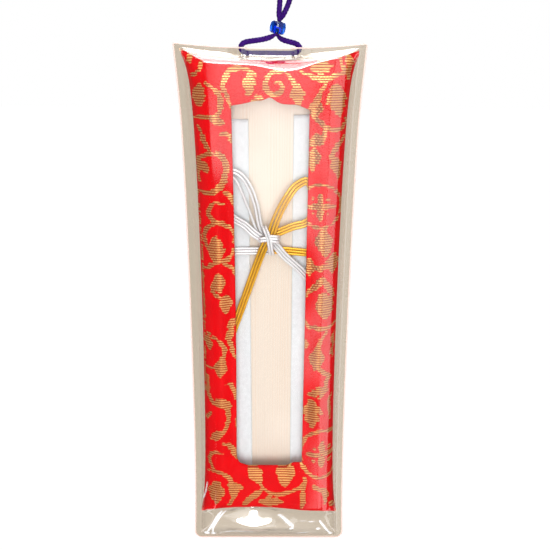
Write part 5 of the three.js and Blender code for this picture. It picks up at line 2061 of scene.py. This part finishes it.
class CHARM_OT_stage(bpy.types.Operator):
    """Add the camera, lamps, surroundings and floor"""
    bl_idname = "charm.stage"
    bl_label = "Stage"

    def execute(self, context):
        make_camera()
        make_stage()
        return {"FINISHED"}


class CHARM_OT_cords(bpy.types.Operator):
    """Braid the bridle and the loop of the hanging cord"""
    bl_idname = "charm.cords"
    bl_label = "Cords"

    def execute(self, context):
        make_cords()
        return {"FINISHED"}


class CHARM_OT_bead(bpy.types.Operator):
    """Spin the glass bead"""
    bl_idname = "charm.bead"
    bl_label = "Bead"

    def execute(self, context):
        make_bead()
        return {"FINISHED"}


class CHARM_OT_films(bpy.types.Operator):
    """Form the two films of the case"""
    bl_idname = "charm.films"
    bl_label = "Films"

    def execute(self, context):
        make_films()
        return {"FINISHED"}


class CHARM_OT_cushion(bpy.types.Operator):
    """Sew the brocade cushion: panels, wadding and seam"""
    bl_idname = "charm.cushion"
    bl_label = "Cushion"

    def execute(self, context):
        material = brocade_finish()
        make_front_panel(material)
        make_back_panel(material)
        make_padding()
        make_seam()
        return {"FINISHED"}


class CHARM_OT_slip(bpy.types.Operator):
    """Make the wooden slip, its paper and the card behind it"""
    bl_idname = "charm.slip"
    bl_label = "Slip"

    def execute(self, context):
        make_slip()
        make_paper()
        make_card()
        return {"FINISHED"}


class CHARM_OT_bow(bpy.types.Operator):
    """Tie the belt, the bow and the knot of paper cord"""
    bl_idname = "charm.bow"
    bl_label = "Bow"

    def execute(self, context):
        values = look("charm_bow")
        silver = foil_finish("silver_foil", values.silver, SILVER_METAL)
        gold = foil_finish("gold_foil", values.gold, GOLD_METAL)
        make_belts(silver, gold)
        make_bows(silver, gold)
        make_knot(silver)
        return {"FINISHED"}


class CHARM_PT_panel(bpy.types.Panel):
    """Lists the steps that dress the charm"""
    bl_label = "Charm"
    bl_idname = "CHARM_PT_panel"
    bl_space_type = "VIEW_3D"
    bl_region_type = "UI"
    bl_category = "Charm"

    def draw(self, context):
        for operator in OPERATORS:
            self.layout.operator(operator.bl_idname)
        for name, group in LOOKS.items():
            box = self.layout.box()
            box.label(text=group.__doc__)
            for field in group.__annotations__:
                box.prop(getattr(context.scene, name), field)


OPERATORS = [
    CHARM_OT_stage, CHARM_OT_bead, CHARM_OT_cords, CHARM_OT_films, CHARM_OT_cushion, CHARM_OT_slip,
    CHARM_OT_bow,
]
CLASSES = [*LOOKS.values(), *OPERATORS, CHARM_PT_panel]


def register():
    for item in CLASSES:
        bpy.utils.register_class(item)
    for name, group in LOOKS.items():
        setattr(bpy.types.Scene, name, bpy.props.PointerProperty(type=group))


def unregister():
    for name in LOOKS:
        delattr(bpy.types.Scene, name)
    for item in reversed(CLASSES):
        bpy.utils.unregister_class(item)


def main():
    register()
    bpy.ops.charm.stage()
    bpy.ops.charm.bead()
    bpy.ops.charm.cords()
    bpy.ops.charm.films()
    bpy.ops.charm.cushion()
    bpy.ops.charm.slip()
    bpy.ops.charm.bow()
    dressed = [list(corner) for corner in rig.bounds()]
    with open(SIZE_FILE, "w") as out:
        json.dump({"cad": CAD_BOX, "visual": dressed}, out)


if __name__ == "__main__":
    main()
